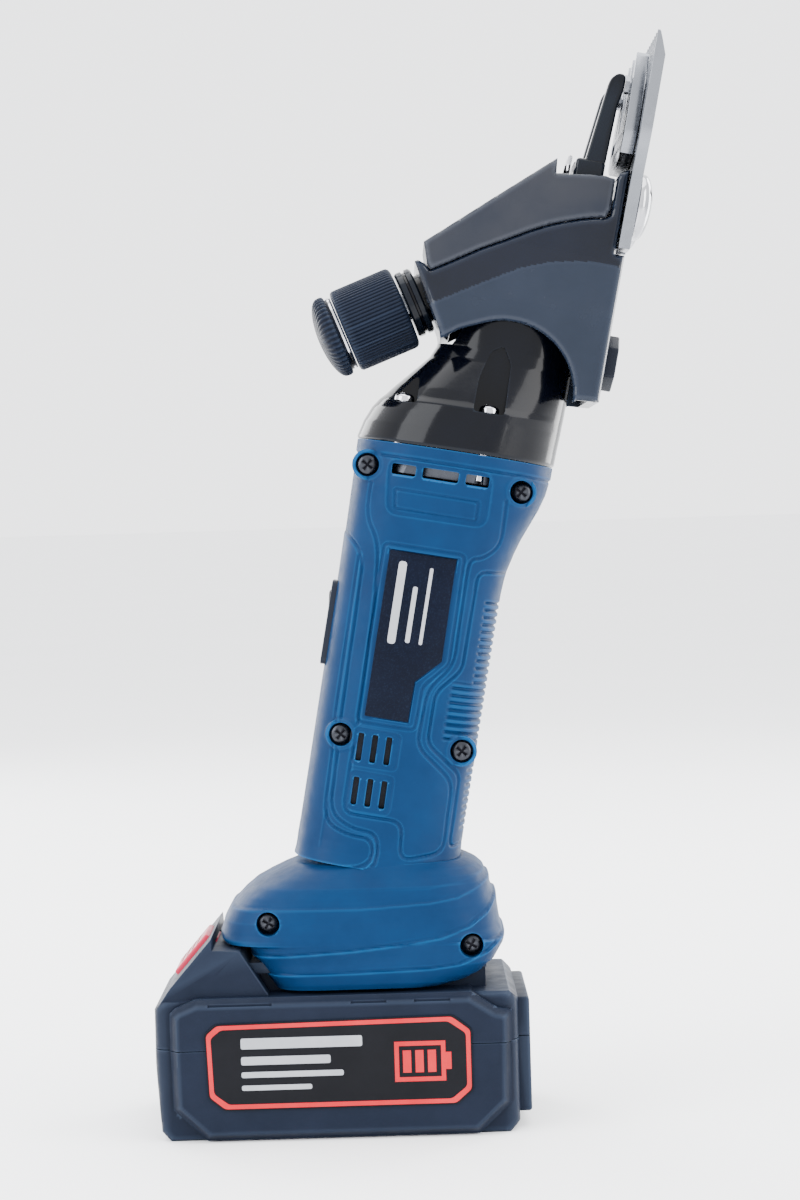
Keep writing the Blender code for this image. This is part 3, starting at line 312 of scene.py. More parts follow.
def combine(piece, operation, *tools):
    """Use the tools on a piece, one after the other, and remove them."""
    for tool in tools:
        boolean = piece.modifiers.new(tool.name, "BOOLEAN")
        boolean.operation = operation
        boolean.object = tool
        boolean.solver = "MANIFOLD"
    finished(piece)
    for tool in tools:
        bpy.data.objects.remove(tool, do_unlink=True)
    return piece


def cut(piece, *tools):
    """Take the tools away from a piece."""
    return combine(piece, "DIFFERENCE", *tools)


def join(piece, *tools):
    """Grow a piece by the tools."""
    return combine(piece, "UNION", *tools)


def bevelled(piece, width, segments=2, angle=30.0):
    """Round every edge that is sharper than an angle in degrees."""
    bevel = piece.modifiers.new("edges", "BEVEL")
    bevel.width = width * MM
    bevel.segments = segments
    bevel.limit_method = "ANGLE"
    bevel.angle_limit = math.radians(angle)
    return finished(piece)


def settle(piece, body, slot, *nodes, sharp=32.0):
    """Shade a finished piece, let it ride on its body and stand for its CAD nodes."""
    piece.data.shade_smooth()
    piece.data.set_sharp_from_angle(angle=math.radians(sharp))
    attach(piece, body)
    if nodes:
        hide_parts(*nodes)
    return piece


# ---------------------------------------------------------------- outlines and relief

def arc(cx, cy, radius, start, end, count):
    """Points on a circle between two angles in degrees."""
    angles = np.radians(np.linspace(start, end, count))
    return [(cx + radius * math.cos(a), cy + radius * math.sin(a)) for a in angles]


CORNER_STEPS = 5
TINY = 1e-9


def rounded(points, radius, closed=False):
    """The same line with its corners turned into short curves."""
    points = [np.array(p, float) for p in points]
    count = len(points)
    result = []
    for i, corner in enumerate(points):
        if not closed and i in (0, count - 1):
            result.append(corner)
            continue
        before, after = points[i - 1], points[(i + 1) % count]
        reach_in = min(radius, 0.45 * np.linalg.norm(corner - before))
        reach_out = min(radius, 0.45 * np.linalg.norm(after - corner))
        start = corner + (before - corner) / np.linalg.norm(before - corner) * reach_in
        end = corner + (after - corner) / np.linalg.norm(after - corner) * reach_out
        for t in np.linspace(0.0, 1.0, CORNER_STEPS):
            result.append((1 - t) ** 2 * start + 2 * t * (1 - t) * corner + t ** 2 * end)
    return [tuple(p) for p in result]


def patch(points, radius):
    """A closed outline with its corners rounded."""
    return rounded(points, radius, closed=True)


def distance(x, z, line, closed=False):
    """Distance from each point to a line of segments."""
    nearest = np.full(x.shape, np.inf)
    ends = line[1:] + (line[:1] if closed else [])
    for (ax, az), (bx, bz) in zip(line, ends):
        dx, dz = bx - ax, bz - az
        t = np.clip(((x - ax) * dx + (z - az) * dz) / max(dx * dx + dz * dz, TINY), 0.0, 1.0)
        nearest = np.minimum(nearest, np.hypot(x - ax - t * dx, z - az - t * dz))
    return nearest


def inside(x, z, outline):
    """Whether each point lies within a closed outline."""
    result = np.zeros(x.shape, bool)
    for (ax, az), (bx, bz) in zip(outline, outline[1:] + outline[:1]):
        crosses = (az > z) != (bz > z)
        edge_x = ax + (z - az) * (bx - ax) / (bz - az if bz != az else TINY)
        result ^= crosses & (x < edge_x)
    return result


def signed(x, z, outline):
    """Depth inside a closed outline; negative outside it."""
    gap = distance(x, z, outline, True)
    return np.where(inside(x, z, outline), gap, -gap)


def smooth(value, start, end):
    """A soft step from 0 at start to 1 at end."""
    t = np.clip((value - start) / (end - start), 0.0, 1.0)
    return t * t * (3.0 - 2.0 * t)


def groove(gap, depth, half_width):
    """How far a rounded groove sinks at a distance from its line."""
    return -depth * np.clip(1.0 - (gap / half_width) ** 2, 0.0, 1.0)


def edge_round(depth_inside, radius):
    """How far a surface falls back near its outline, as a quarter circle."""
    t = np.clip(1.0 - depth_inside / radius, 0.0, 1.0)
    return radius * (1.0 - np.sqrt(1.0 - t * t))


def section(left, right, half_y, power, count):
    """A rounded rectangle, its points evenly spaced along its edge."""
    angles = np.linspace(0.0, 2.0 * math.pi, count * 12 + 1)
    c, s = np.cos(angles), np.sin(angles)
    x = (left + right) / 2.0 + (right - left) / 2.0 * np.sign(c) * np.abs(c) ** (2.0 / power)
    y = half_y * np.sign(s) * np.abs(s) ** (2.0 / power)
    length = np.concatenate([[0.0], np.cumsum(np.hypot(np.diff(x), np.diff(y)))])
    wanted = length[-1] * np.arange(count) / count
    return np.interp(wanted, length, x), np.interp(wanted, length, y)


def loft(name, matrix, table, count, step=0.5, relief=None, shader=None):
    """A skin over sections (z, left, right, half_y, power), with an optional relief(x, z, y) on it."""
    table = np.array(sorted(table), float)
    heights = np.arange(table[0, 0], table[-1, 0], step).tolist() + [table[-1, 0]]
    rings = np.zeros((len(heights), count, 3))
    for row, z in enumerate(heights):
        left, right, half_y, power = (np.interp(z, table[:, 0], table[:, k]) for k in range(1, 5))
        rings[row, :, 0], rings[row, :, 1] = section(left, right, half_y, power, count)
        rings[row, :, 2] = z
    if relief:
        ahead, behind = np.roll(rings, -1, axis=1), np.roll(rings, 1, axis=1)
        tangent = (ahead - behind)[..., :2]
        tangent /= np.linalg.norm(tangent, axis=-1, keepdims=True)
        height = relief(rings[..., 0], rings[..., 2], rings[..., 1])
        rings[..., 0] += tangent[..., 1] * height
        rings[..., 1] -= tangent[..., 0] * height
    return skin(name, rings, matrix, shader)


def slab(name, matrix, outline, half_width, step=0.6, shader=None):
    """A side outline given body: half_width(x, z) is how far it reaches to each side."""
    outline = [tuple(p) for p in outline]
    xs = np.arange(min(p[0] for p in outline) - 1.0, max(p[0] for p in outline) + 1.0 + step, step)
    zs = np.arange(min(p[1] for p in outline) - 1.0, max(p[1] for p in outline) + 1.0 + step, step)
    x, z = np.meshgrid(xs, zs)
    reach = half_width(x, z)
    near = np.stack([x, -reach, z], axis=-1)
    far = np.stack([x, reach, z], axis=-1)[:, ::-1]
    envelope = skin(name, np.concatenate([near, far], axis=1), matrix, shader)
    return combine(envelope, "INTERSECT", prism("wall", matrix, outline, -90.0, 90.0))


# ---------------------------------------------------------------- camera, light and floor

CAMERA_SPOT = (-0.00285, -0.900, 0.19355)
CAMERA_LENS = 83.1
CAMERA_PITCH, CAMERA_ROLL = -1.65, -1.7
AIM = Vector((0.0, 0.0, 0.17))


def studio():
    """The photo's camera, five soft lamps, pale air and a white paper floor."""
    camera_data = bpy.data.cameras.new("camera")
    camera_data.lens = CAMERA_LENS
    camera_data.sensor_width = 36.0
    camera_data.clip_end = 100.0
    camera = bpy.data.objects.new("camera", camera_data)
    SCENE.collection.objects.link(camera)
    look = turned_to(Matrix.Translation(CAMERA_SPOT), "X", 90.0 + CAMERA_PITCH)
    camera.matrix_world = turned_to(look, "Z", CAMERA_ROLL)
    SCENE.camera = camera

    for name, place, size, power, tint in (
            ("left_softbox", (-1.3, -0.9, 0.9), (1.1, 1.4), 42.0, (0.96, 0.98, 1.0)),
            ("right_softbox", (1.3, -0.7, 0.7), (0.8, 1.4), 30.0, (1.0, 0.99, 0.97)),
            ("top_softbox", (0.1, 0.1, 1.5), (1.4, 1.4), 26.0, (1.0, 1.0, 1.0)),
            ("back_strip", (-0.7, 1.0, 0.7), (0.5, 1.4), 18.0, (0.97, 0.98, 1.0)),
            ("rim_strip", (0.9, 0.9, 0.5), (0.4, 1.3), 16.0, (1.0, 1.0, 1.0))):
        light = bpy.data.lights.new(name, "AREA")
        light.shape = "RECTANGLE"
        light.size, light.size_y = size
        light.energy = power
        light.color = tint
        lamp = bpy.data.objects.new(name, light)
        SCENE.collection.objects.link(lamp)
        turn = (AIM - Vector(place)).to_track_quat("-Z", "Y")
        lamp.matrix_world = Matrix.Translation(place) @ turn.to_matrix().to_4x4()

    world = bpy.data.worlds.new("studio_air")
    world.use_nodes = True
    air = world.node_tree.nodes["Background"]
    air.inputs["Color"].default_value = (0.97, 0.98, 1.0, 1.0)
    air.inputs["Strength"].default_value = 3.1
    SCENE.world = world

    paper = material("white_paper", (0.90, 0.905, 0.91), (0.92, 0.92, 0.93), (0.7, 0.8),
                     patch_mm=400.0, grain_mm=3.0)
    floor = lathe("floor", Matrix.Identity(4), [(200000.0, -2.0), (200000.0, 0.0)], paper, 96)


studio()

# ---------------------------------------------------------------- blue case

def plate_outline(grow):
    """Outline of the nameplate, grown by a margin."""
    low = grow / 2.0
    return [(-16.0 - grow, -33.6 + grow), (5.2 + grow, -33.6 + grow), (5.5 + grow, -66.3 - low),
            (-2.0 + grow, -73.8 - low), (-2.2 + grow, -86.8 - grow), (-16.0 - grow, -86.8 - grow)]


SHIELD_LEFT = rounded([(-25.7, -12.4), (-25.7, -24.0), (-20.2, -32.0), (-18.6, -50.0), (-17.9, -89.5)], 6.0)
SHIELD_RIGHT = rounded([
    (18.2, -12.6), (18.9, -27.0), (13.8, -32.0), (9.4, -32.8), (9.7, -66.6), (2.6, -75.7), (1.9, -93.9),
    (15.1, -103.6), (15.7, -126.6), (2.0, -130.6), (1.0, -118.4), (-18.3, -118.4), (-18.3, -92.0)], 4.0)
OUTER_LEFT = rounded([(-25.9, -37.0), (-25.6, -90.0), (-24.6, -99.0), (-24.2, -122.0), (-16.0, -125.1),
                      (-7.2, -125.1), (-6.9, -134.2), (-25.0, -137.0)], 7.0)
INNER_LEFT = rounded([(-32.0, -29.8), (-24.4, -36.4), (-23.7, -90.0), (-23.0, -99.0), (-22.6, -118.8),
                      (-15.0, -122.9), (-5.6, -123.2), (-5.2, -135.6), (-25.4, -138.8)], 6.0)
PLATE_FRAME = patch([(-18.4, -31.8), (7.8, -31.8), (8.2, -66.9), (0.8, -74.9), (0.4, -89.0), (-18.4, -89.0)],
                    2.0)
GRIP_EDGE = rounded([(24.0, -35.5), (13.0, -36.4), (12.7, -68.0), (5.2, -76.2), (5.1, -92.6),
                     (17.3, -101.2), (17.6, -125.0), (21.5, -123.6)], 3.0)
VENT_PANEL = patch([(-21.4, -5.0), (12.6, -5.0), (13.0, -22.4), (-19.4, -22.6)], 4.0)
VENT_INNER = patch([(-17.8, -14.4), (9.4, -14.6), (9.6, -20.8), (-16.9, -20.5)], 0.8)
SLOT_FRAMES = [patch([(-18.2, -91.2), (-3.8, -91.4), (-3.8, -102.4), (-18.0, -102.4)], 1.6),
               patch([(-17.8, -104.9), (-4.0, -105.0), (-4.0, -116.6), (-17.6, -116.6)], 1.6)]
TOP_VENTS = [(-19.4, -11.8), (-9.6, 1.8), (4.1, 11.6)]
SIDE_VENTS = [(-16.0, -96.9), (-15.4, -110.9)]
RIB_PITCH = 2.35


def grip_relief(u, z, y):
    """Grooves, panels and finger ribs of one side of the grip, in the handle frame."""
    height = np.zeros(u.shape)
    near_screw = np.full(u.shape, 99.0)
    for su, sz in CASE_SCREWS:
        near_screw = np.minimum(near_screw, np.hypot(u - su, z - sz))
    free = smooth(near_screw, 4.6, 5.6)
    on_face = smooth(np.abs(y), 2.0, 6.0)
    height += (groove(np.abs(z + 4.3), 0.55, 0.55) - 0.25 * smooth(-z, 4.2, 4.8)) * free
    height -= 0.45 * smooth(signed(u, z, VENT_PANEL), -0.2, 0.7) * on_face
    height += groove(distance(u, z, VENT_INNER, True), 0.30, 0.40) * on_face
    for line, depth, half in ((SHIELD_LEFT, 0.45, 0.55), (SHIELD_RIGHT, 0.45, 0.55), (OUTER_LEFT, 0.45, 0.5),
                              (INNER_LEFT, 0.45, 0.5), (GRIP_EDGE, 0.5, 0.55)):
        height += groove(distance(u, z, line), depth, half) * free * on_face
    height += groove(distance(u, z, PLATE_FRAME, True), 0.35, 0.5) * on_face
    for slot_frame in SLOT_FRAMES:
        height += groove(distance(u, z, slot_frame, True), 0.30, 0.45) * on_face
        height -= 0.25 * smooth(signed(u, z, slot_frame), 0.0, 0.6) * on_face
    pad_left = np.interp(z, [-90.0, -36.4, -29.8], [-23.7, -24.4, -32.0])
    height += 0.3 * smooth(pad_left - u, -0.2, 0.5) * smooth(-z, 29.6, 30.6) * smooth(z, -134.0, -128.0)
    height += finger_ribs(u, z) * free
    return height - 0.3


def finger_ribs(u, z):
    """Cross grooves on the +X edge: short, then long above the lower screw, then short again."""
    down = -z
    start = np.interp(down, [45.0, 71.9, 72.0, 91.0, 91.1, 99.0, 119.0],
                      [16.4, 16.4, 9.6, 9.2, 30.0, 19.3, 19.9])
    phase = np.abs((down / RIB_PITCH) % 1.0 - 0.5) * 2.0
    gap = 1.0 - smooth(down, 90.2, 91.0) + smooth(down, 98.0, 98.8)
    run = smooth(down, 44.8, 45.8) * (1.0 - smooth(down, 119.0, 120.0)) * gap
    return groove(phase, 0.75, 0.55) * smooth(u - start, -0.2, 1.6) * run


def foot_relief(x, z, y):
    """Sweeping creases, alike at every y: each band falls away and steps out again at the next."""
    lines = [[(-40.0, 80.0), (-31.7, 78.0), (-10.0, 77.2), (30.0, 77.2), (46.0, 80.0), (56.0, 84.0)],
             [(-40.0, 71.6), (-21.0, 72.3), (8.6, 72.2), (30.5, 73.3), (39.3, 74.5), (46.3, 77.1),
              (56.0, 81.5)],
             [(-40.0, 57.0), (-16.9, 57.9), (5.0, 59.1), (20.8, 60.6), (33.3, 62.4), (42.8, 65.3),
              (49.2, 69.2), (52.5, 73.5), (56.0, 77.5)],
             [(-40.0, 51.0), (-10.8, 51.8), (8.0, 52.1), (29.9, 52.7), (39.3, 53.7), (48.8, 57.2),
              (54.0, 61.2)]]
    height = np.full(x.shape, -0.2)
    tops = [np.interp(x, *zip(*line)) for line in lines] + [np.full(x.shape, 45.0)]
    for top, bottom, depth in zip(tops, tops[1:], (0.5, 1.1, 1.0, 0.6)):
        fall = np.clip((top - z) / np.maximum(top - bottom, 2.0), 0.0, 1.0)
        band = smooth(top - z, -0.35, 0.1) * smooth(z - bottom, -0.35, 0.1)
        height -= band * depth * np.sin(fall * math.pi * 0.75) ** 1.2
        height += groove(np.abs(z - bottom - 0.25), 0.15, 0.5)
    return height


def case_well(matrix, x, z, seat_y):
    """A screw's hole and the well in front of its head."""
    return rod_along_y("well", matrix, x, z, [(1.8, 22.0), (1.8, seat_y), (WELL_R, seat_y), (WELL_R, -45.0)])


def phillips(number, matrix, x, z, seat_y, tip_y):
    """Pan-head case screw whose head faces -Y, with a cross recess."""
    head = [(0.3, 1.5), (0.3, 3.1), (0.6, 3.3), (1.6, 3.3), (2.2, 2.95), (2.65, 2.2), (2.8, 0.4)]
    profile = [(1.5, tip_y)] + [(radius, seat_y - rise) for rise, radius in head]
    screw = rod_along_y("case_screw_%d" % number, matrix, x, z, profile, DARK)
    spot = at(matrix, x, seat_y - 2.3, z)
    for degrees in (30.0, 120.0):
        cut(screw, block("cross", turned_to(spot, "Y", degrees), (-1.9, 1.9), (-2.0, 0.9), (-0.38, 0.38)))
    settle(screw, "housing", "dark_steel", "housing_screw_%d" % number, sharp=28.0)


def blue_case():
    """Both halves of the handle, from one shell with its moulded relief, opened and split at y = 0."""
    grip_table = [(0.0, COLLAR_R), (-4.2, 32.2), (-9.0, 31.5), (-14.0, 30.0), (-20.0, 27.6), (-24.5, 25.8),
                  (-29.0, 24.4), (-35.0, 22.9), (-38.0, 22.5), (-43.0, 22.15), (-60.0, 22.1)]
    left = -COLLAR_R + 0.5
    table = []
    for z, right in grip_table:
        lower = min(1.0, max(0.0, -z / 40.0))
        table.append((z, -COLLAR_R + 0.5 * lower, right, 32.0 - 7.0 * lower ** 0.7,
                      2.0 + 0.7 * min(1.0, lower * 3.0)))
    table += [(-124.0, left, 22.0, 25.0, 2.7), (-128.0, left - 0.1, 22.3, 25.2, 2.7),
              (-131.0, left - 0.2, 23.0, 25.7, 2.8), (-133.3, left - 0.4, 24.2, 26.3, 2.9),
              (-135.0, left - 0.6, 26.0, 27.0, 3.0)]
    shell = loft("case", HANDLE, table, 420, 0.4, grip_relief, BLUE)
    foot_table = [
        (46.4, -20.4, 37.5, 33.0, 5.0), (48.0, -21.4, 43.6, 34.0, 5.0), (50.0, -22.6, 47.6, 34.6, 5.0),
        (53.5, -25.2, 51.6, 35.6, 5.0), (58.5, -28.4, 54.3, 36.2, 5.0), (60.2, -29.6, 54.6, 36.3, 5.0),
        (60.8, -37.0, 54.7, 36.4, 4.2), (61.8, -37.9, 54.7, 36.4, 4.0), (63.6, -38.0, 54.4, 36.2, 3.6),
        (67.5, -36.4, 53.8, 35.6, 3.6), (71.4, -33.6, 52.8, 34.6, 3.6), (75.0, -30.2, 51.8, 33.2, 3.5),
        (78.0, -26.0, 50.6, 31.6, 3.4), (80.4, -21.6, 49.0, 29.6, 3.3), (82.6, -17.0, 46.6, 27.4, 3.2),
        (84.0, -13.6, 44.0, 25.9, 3.0), (84.6, -12.5, 42.6, 25.4, 3.0)]
    join(shell, loft("foot", BATTERY, foot_table, 420, 0.4, foot_relief, BLUE))
    room = [(1.0, -29.6, 29.6, 29.4, 2.0), (-9.0, -29.0, 28.4, 27.0, 2.5), (-20.0, -28.8, 24.6, 24.0, 2.7),
            (-43.0, -28.6, 19.4, 21.6, 2.7), (-130.0, -28.6, 19.2, 21.6, 2.7)]
    foot_room = [(60.6, -26.0, 51.0, 32.4, 4.0), (71.4, -30.0, 49.4, 31.2, 3.6),
                 (78.0, -22.8, 47.2, 28.2, 3.4)]
    cut(shell, loft("grip_room", HANDLE, room, 64, 8.0), loft("foot_room", BATTERY, foot_room, 64, 4.0))
    bosses = [rod_along_y("boss", HANDLE, x, z, bar(4.9, *span(side, 12.5, 20.2)))
              for side in SIDES for x, z in CASE_SCREWS]
    bosses += [rod_along_y("boss", BATTERY, x, z, bar(5.0, -28.6, 28.6)) for x, z in FOOT_SCREWS]
    join(shell, *bosses)
    cut(shell,
        block("rail_mouth", BATTERY, (-60.0, 49.0), (-22.6, 22.6), (40.0, 52.0)),
        block("rail_room", BATTERY, (-60.0, 49.0), (-26.6, 26.6), (50.8, 55.6)),
        block("contact_room", BATTERY, (-60.0, 36.0), (-14.0, 14.0), (55.0, 61.8)),
        block("switch_window", HANDLE, (-40.0, -27.0), (-8.3, 8.3), (-74.0, -46.0)))
    cut(shell, *[case_well(HANDLE, x, z, CASE_SEAT_Y) for x, z in CASE_SCREWS],
        *[case_well(BATTERY, x, z, FOOT_SEAT_Y) for x, z in FOOT_SCREWS])
    tools = []
    for low, high in TOP_VENTS:
        outline = patch(rectangle(low, high, -9.8, -6.4), 0.7)
        tools.append(prism("top_vent", HANDLE, outline, -40.0, 40.0))
    for first, z in SIDE_VENTS:
        for x in (first, first + 4.5, first + 9.0):
            leaning = [(x - 0.9, z - 4.5), (x + 1.0, z - 4.5), (x + 0.9, z + 4.5), (x - 1.0, z + 4.5)]
            outline = patch(leaning, 0.6)
            tools.append(prism("side_vent", HANDLE, outline, -40.0, 40.0))
    for side, face in FACES:
        tools.append(prism("plate_pocket", HANDLE, plate_outline(0.4), *span(side, 24.0, 40.0)))
    cut(shell, *tools)
    for side, face in FACES:
        half = shell.copy()
        half.data = shell.data.copy()
        half.name = "case_" + face
        SCENE.collection.objects.link(half)
        other_side = sorted((side * PARTING, -side * 80.0))
        cut(half, block("other_side", HANDLE, (-150.0, 150.0), other_side, (-230.0, 60.0)))
        settle(half, "housing", "blue_plastic", "housing_" + face, sharp=40.0)
    bpy.data.objects.remove(shell, do_unlink=True)
    for number, (x, z) in enumerate(CASE_SCREWS, start=1):
        phillips(number, HANDLE, x, z, CASE_SEAT_Y, 12.0)
    for number, (x, z) in enumerate(FOOT_SCREWS, start=5):
        phillips(number, BATTERY, x, z, FOOT_SEAT_Y, 18.0)


def nameplates():
    """Speckled plates with plain pale bars where a maker would print."""
    bars = [(-12.6, -10.0, -63.0, -36.6), (-7.0, -5.5, -62.0, -44.0), (-2.6, -1.5, -62.0, -37.5)]
    for side, face in FACES:
        plate = prism("plate_" + face, HANDLE, plate_outline(0.0), *span(side, 24.08, 24.5), shader=PLATE)
        settle(bevelled(plate, 0.12), "housing", "label_film", "nameplate_" + face)
        for number, (left, right, low, high) in enumerate(bars, start=1):
            outline = patch(rectangle(left, right, low, high), (right - left) * 0.45)
            stripe = prism("plate_%s_bar_%d" % (face, number), HANDLE, outline, *span(side, 24.4, 24.58),
                           shader=PALE)
            settle(stripe, "housing", "label_film")


def switch():
    """A framed rocker on the -X edge of the grip."""
    frame_edge = patch(rectangle(-8.0, 8.0, -73.7, -46.3), 2.5)
    pocket_edge = patch(rectangle(-5.9, 5.9, -71.6, -48.4), 1.0)
    bezel = prism("switch_bezel", HANDLE, frame_edge, -32.9, -27.2, "X", SATIN)
    cut(bezel, prism("pocket", HANDLE, pocket_edge, -40.0, -27.9, "X"))
    settle(bevelled(bezel, 0.35, 2, 50.0), "housing", "black_satin", "switch_frame")
    outline = patch([(-33.5, -49.6), (-32.4, -60.0), (-31.2, -70.4), (-29.6, -70.4), (-28.9, -60.0),
                     (-31.3, -49.6)], 1.2)
    rocker = prism("rocker", HANDLE, outline, -5.5, 5.5, shader=SATIN)
    for z in (-51.2, -52.8, -54.4):
        cut(rocker, block("grip_line", HANDLE, (-36.0, -32.75), (-4.2, 4.2), (z - 0.3, z + 0.3)))
    settle(bevelled(rocker, 0.25, 2, 50.0), "switch_rocker", "black_satin", "switch_rocker")


def vent_shade_sheets():
    """Black sheets just inside the intake and top vents: painted shade standing in for the dark inside of
    the case.
    """
    for side, face in FACES:
        for name, xs, reach, zs in (("filter_" + face, (-19.5, -1.5), (19.6, 20.4), (-119.0, -90.0)),
                                    ("filter_%s_upper" % face, (-21.0, 13.5), (18.0, 19.0), (-11.6, -9.2))):
            sheet = block(name, HANDLE, xs, span(side, *reach), zs, SATIN)
            settle(bevelled(sheet, 0.2, 1), "housing", "black_satin")


blue_case()
nameplates()
switch()
# dark sheets behind the vents stand in for shade
vent_shade_sheets()


# ---------------------------------------------------------------- neck and shearing head

SEAM = [(8.0, 34.7), (12.0, 34.0), (15.7, 33.0), (21.7, 31.0), (26.3, 29.1), (30.6, 26.9), (39.4, 21.9),
        (45.2, 18.7), (53.8, 13.1), (59.5, 9.6)]
REAR_WALL = [(53.7, -7.9), (58.8, 1.0), (63.1, 8.5), (64.9, 11.6)]
CONTOUR = [(-60.0, -2.6), (-57.8, -1.0), (-43.4, 7.8), (-31.9, 14.6), (-22.9, 18.0), (-13.7, 19.9),
           (-7.4, 20.4), (0.0, 20.0)]
ARCH_R = 22.5


def bed_outline(points):
    """Depth and height on the bed become local X and Z."""
    return [(-depth, v) for depth, v in points]


def plan_half(v):
    """Half width of the head, seen from above, at a height on the bed."""
    return np.interp(v, [-40.0, 4.0, 22.0, 36.0, 60.0], [25.4, 25.4, 27.0, 29.5, 31.0])


def head_side(outline, radius):
    """Half width of the head: it leans in above a crease and is rounded at its outline."""
    def half_width(x, z):
        above = np.maximum(0.0, z - np.interp(x, *zip(*CONTOUR)))
        lean = 0.10 * above + 0.30 * smooth(above, 0.0, 0.8)
        return plan_half(z) - lean - edge_round(signed(x, z, outline), radius)
    return half_width


def paint_band_shade(casting):
    """Painted shade: every face of the casting above its contour crease, where the walls lean in, takes a
    darker copy of the cast paint.
    """
    casting.data.materials.append(BAND_SHADE)
    index = len(casting.data.materials) - 1
    to_bed = BED.inverted()
    for face in casting.data.polygons:
        spot = to_bed @ face.center
        if spot.z / MM > np.interp(spot.x / MM, *zip(*CONTOUR)) + 0.3:
            face.material_index = index


def arch_line():
    """Underside of the casting: the arch round the crank, then straight down."""
    to_bed = BED.inverted() @ HANDLE
    points = []
    for u, z in [(-10.6, 34.6), (-4.9, 38.6)] + arc(CRANK_U, 21.0, ARCH_R, 112.0, 0.0, 26):
        spot = to_bed @ Vector((u * MM, 0.0, z * MM))
        points.append((spot.x / MM, spot.z / MM))
    return points + [(-7.0, -22.9)]


def gear_housing():
    """Glossy casting between the collar and the arch, with rimmed pockets for its four screws."""
    table = [(GAP, -COLLAR_R + 0.4, COLLAR_R - 0.4, 31.6, 2.0), (0.9, -COLLAR_R, COLLAR_R, 32.0, 2.0),
             (6.3, -30.9, 32.5, 31.7, 2.0), (11.0, -28.9, 32.8, 31.3, 2.0), (14.0, -26.8, 32.9, 30.8, 2.05),
             (15.6, -25.2, 33.0, 29.6, 2.1), (19.0, -22.4, 33.1, 28.0, 2.2), (25.0, -17.0, 33.3, 25.2, 2.3),
             (29.7, -12.9, 33.4, 23.1, 2.3), (33.5, -11.2, 33.5, 22.4, 2.3), (46.0, -11.1, 33.5, 22.3, 2.3)]
    body = loft("neck", HANDLE, table, 360, 0.4, None, GLOSS)
    above = [(60.0, 21.3), (35.1, 21.3)] + arc(CRANK_U, 21.0, ARCH_R + 1.0, 12.0, 118.0, 20)
    above += [(-4.0, 39.0), (-6.5, 34.0), (-60.0, 34.0), (-60.0, 80.0), (60.0, 80.0)]
    crank_axis = at(HANDLE, CRANK_U)
    cut(body, prism("above", HANDLE, above, -50.0, 50.0))
    room = [(-2.0, -29.2, 29.2, 29.2, 2.0), (5.8, -27.5, 29.2, 28.6, 2.0)]
    cut(body, loft("gear_room", HANDLE, room, 64, 4.0),
        lathe("front_seat", crank_axis, bar(9.3, 3.0, 14.0)),
        lathe("neck_room", crank_axis, bar(19.2, 11.0, 60.0)),
        lathe("post_notch", POST, bar(5.2, -5.0, 30.0)))
    for number, (x, y) in enumerate(HEAD_SCREWS, start=1):
        side = math.copysign(1.0, y)
        if x > 0.0:
            slot = [(x - 5.2, 13.4), (x + 4.8, 13.4), (x + 4.6, 30.0), (x + 1.6, 35.5), (x - 2.4, 33.0),
                    (x - 4.8, 24.0)]
        else:
            slot = [(x - 4.2, 13.4), (x + 4.0, 13.4), (x + 3.8, 21.8), (x + 2.4, 21.8)]
        cut(body, lathe("screw_way", at(HANDLE, x, y), bar(1.8, 0.0, 20.0), sides=24),
            prism("pocket", HANDLE, patch(slot, 1.4), *span(side, abs(y) - 4.2, 45.0)))
        under = 13.4 + GAP
        profile = [(0.01, -8.0), (1.5, -8.0), (1.5, under), (3.1, under), (3.1, 14.7), (2.9, 15.3),
                   (2.2, 15.9), (1.2, 16.2), (0.01, 16.3)]
        spot = turned_to(at(HANDLE, x, y), "Z", 25.0)
        screw = lathe("neck_screw_%d" % number, at(HANDLE, x, y), profile, CHROME, 48)
        cut(screw, block("slit", spot, (-3.4, 3.4), (-0.4, 0.4), (15.2, 17.0)))
        settle(screw, "housing", "chrome", "head_screw_%d" % number)
    settle(body, "housing", "black_paint", "gear_housing", sharp=34.0)


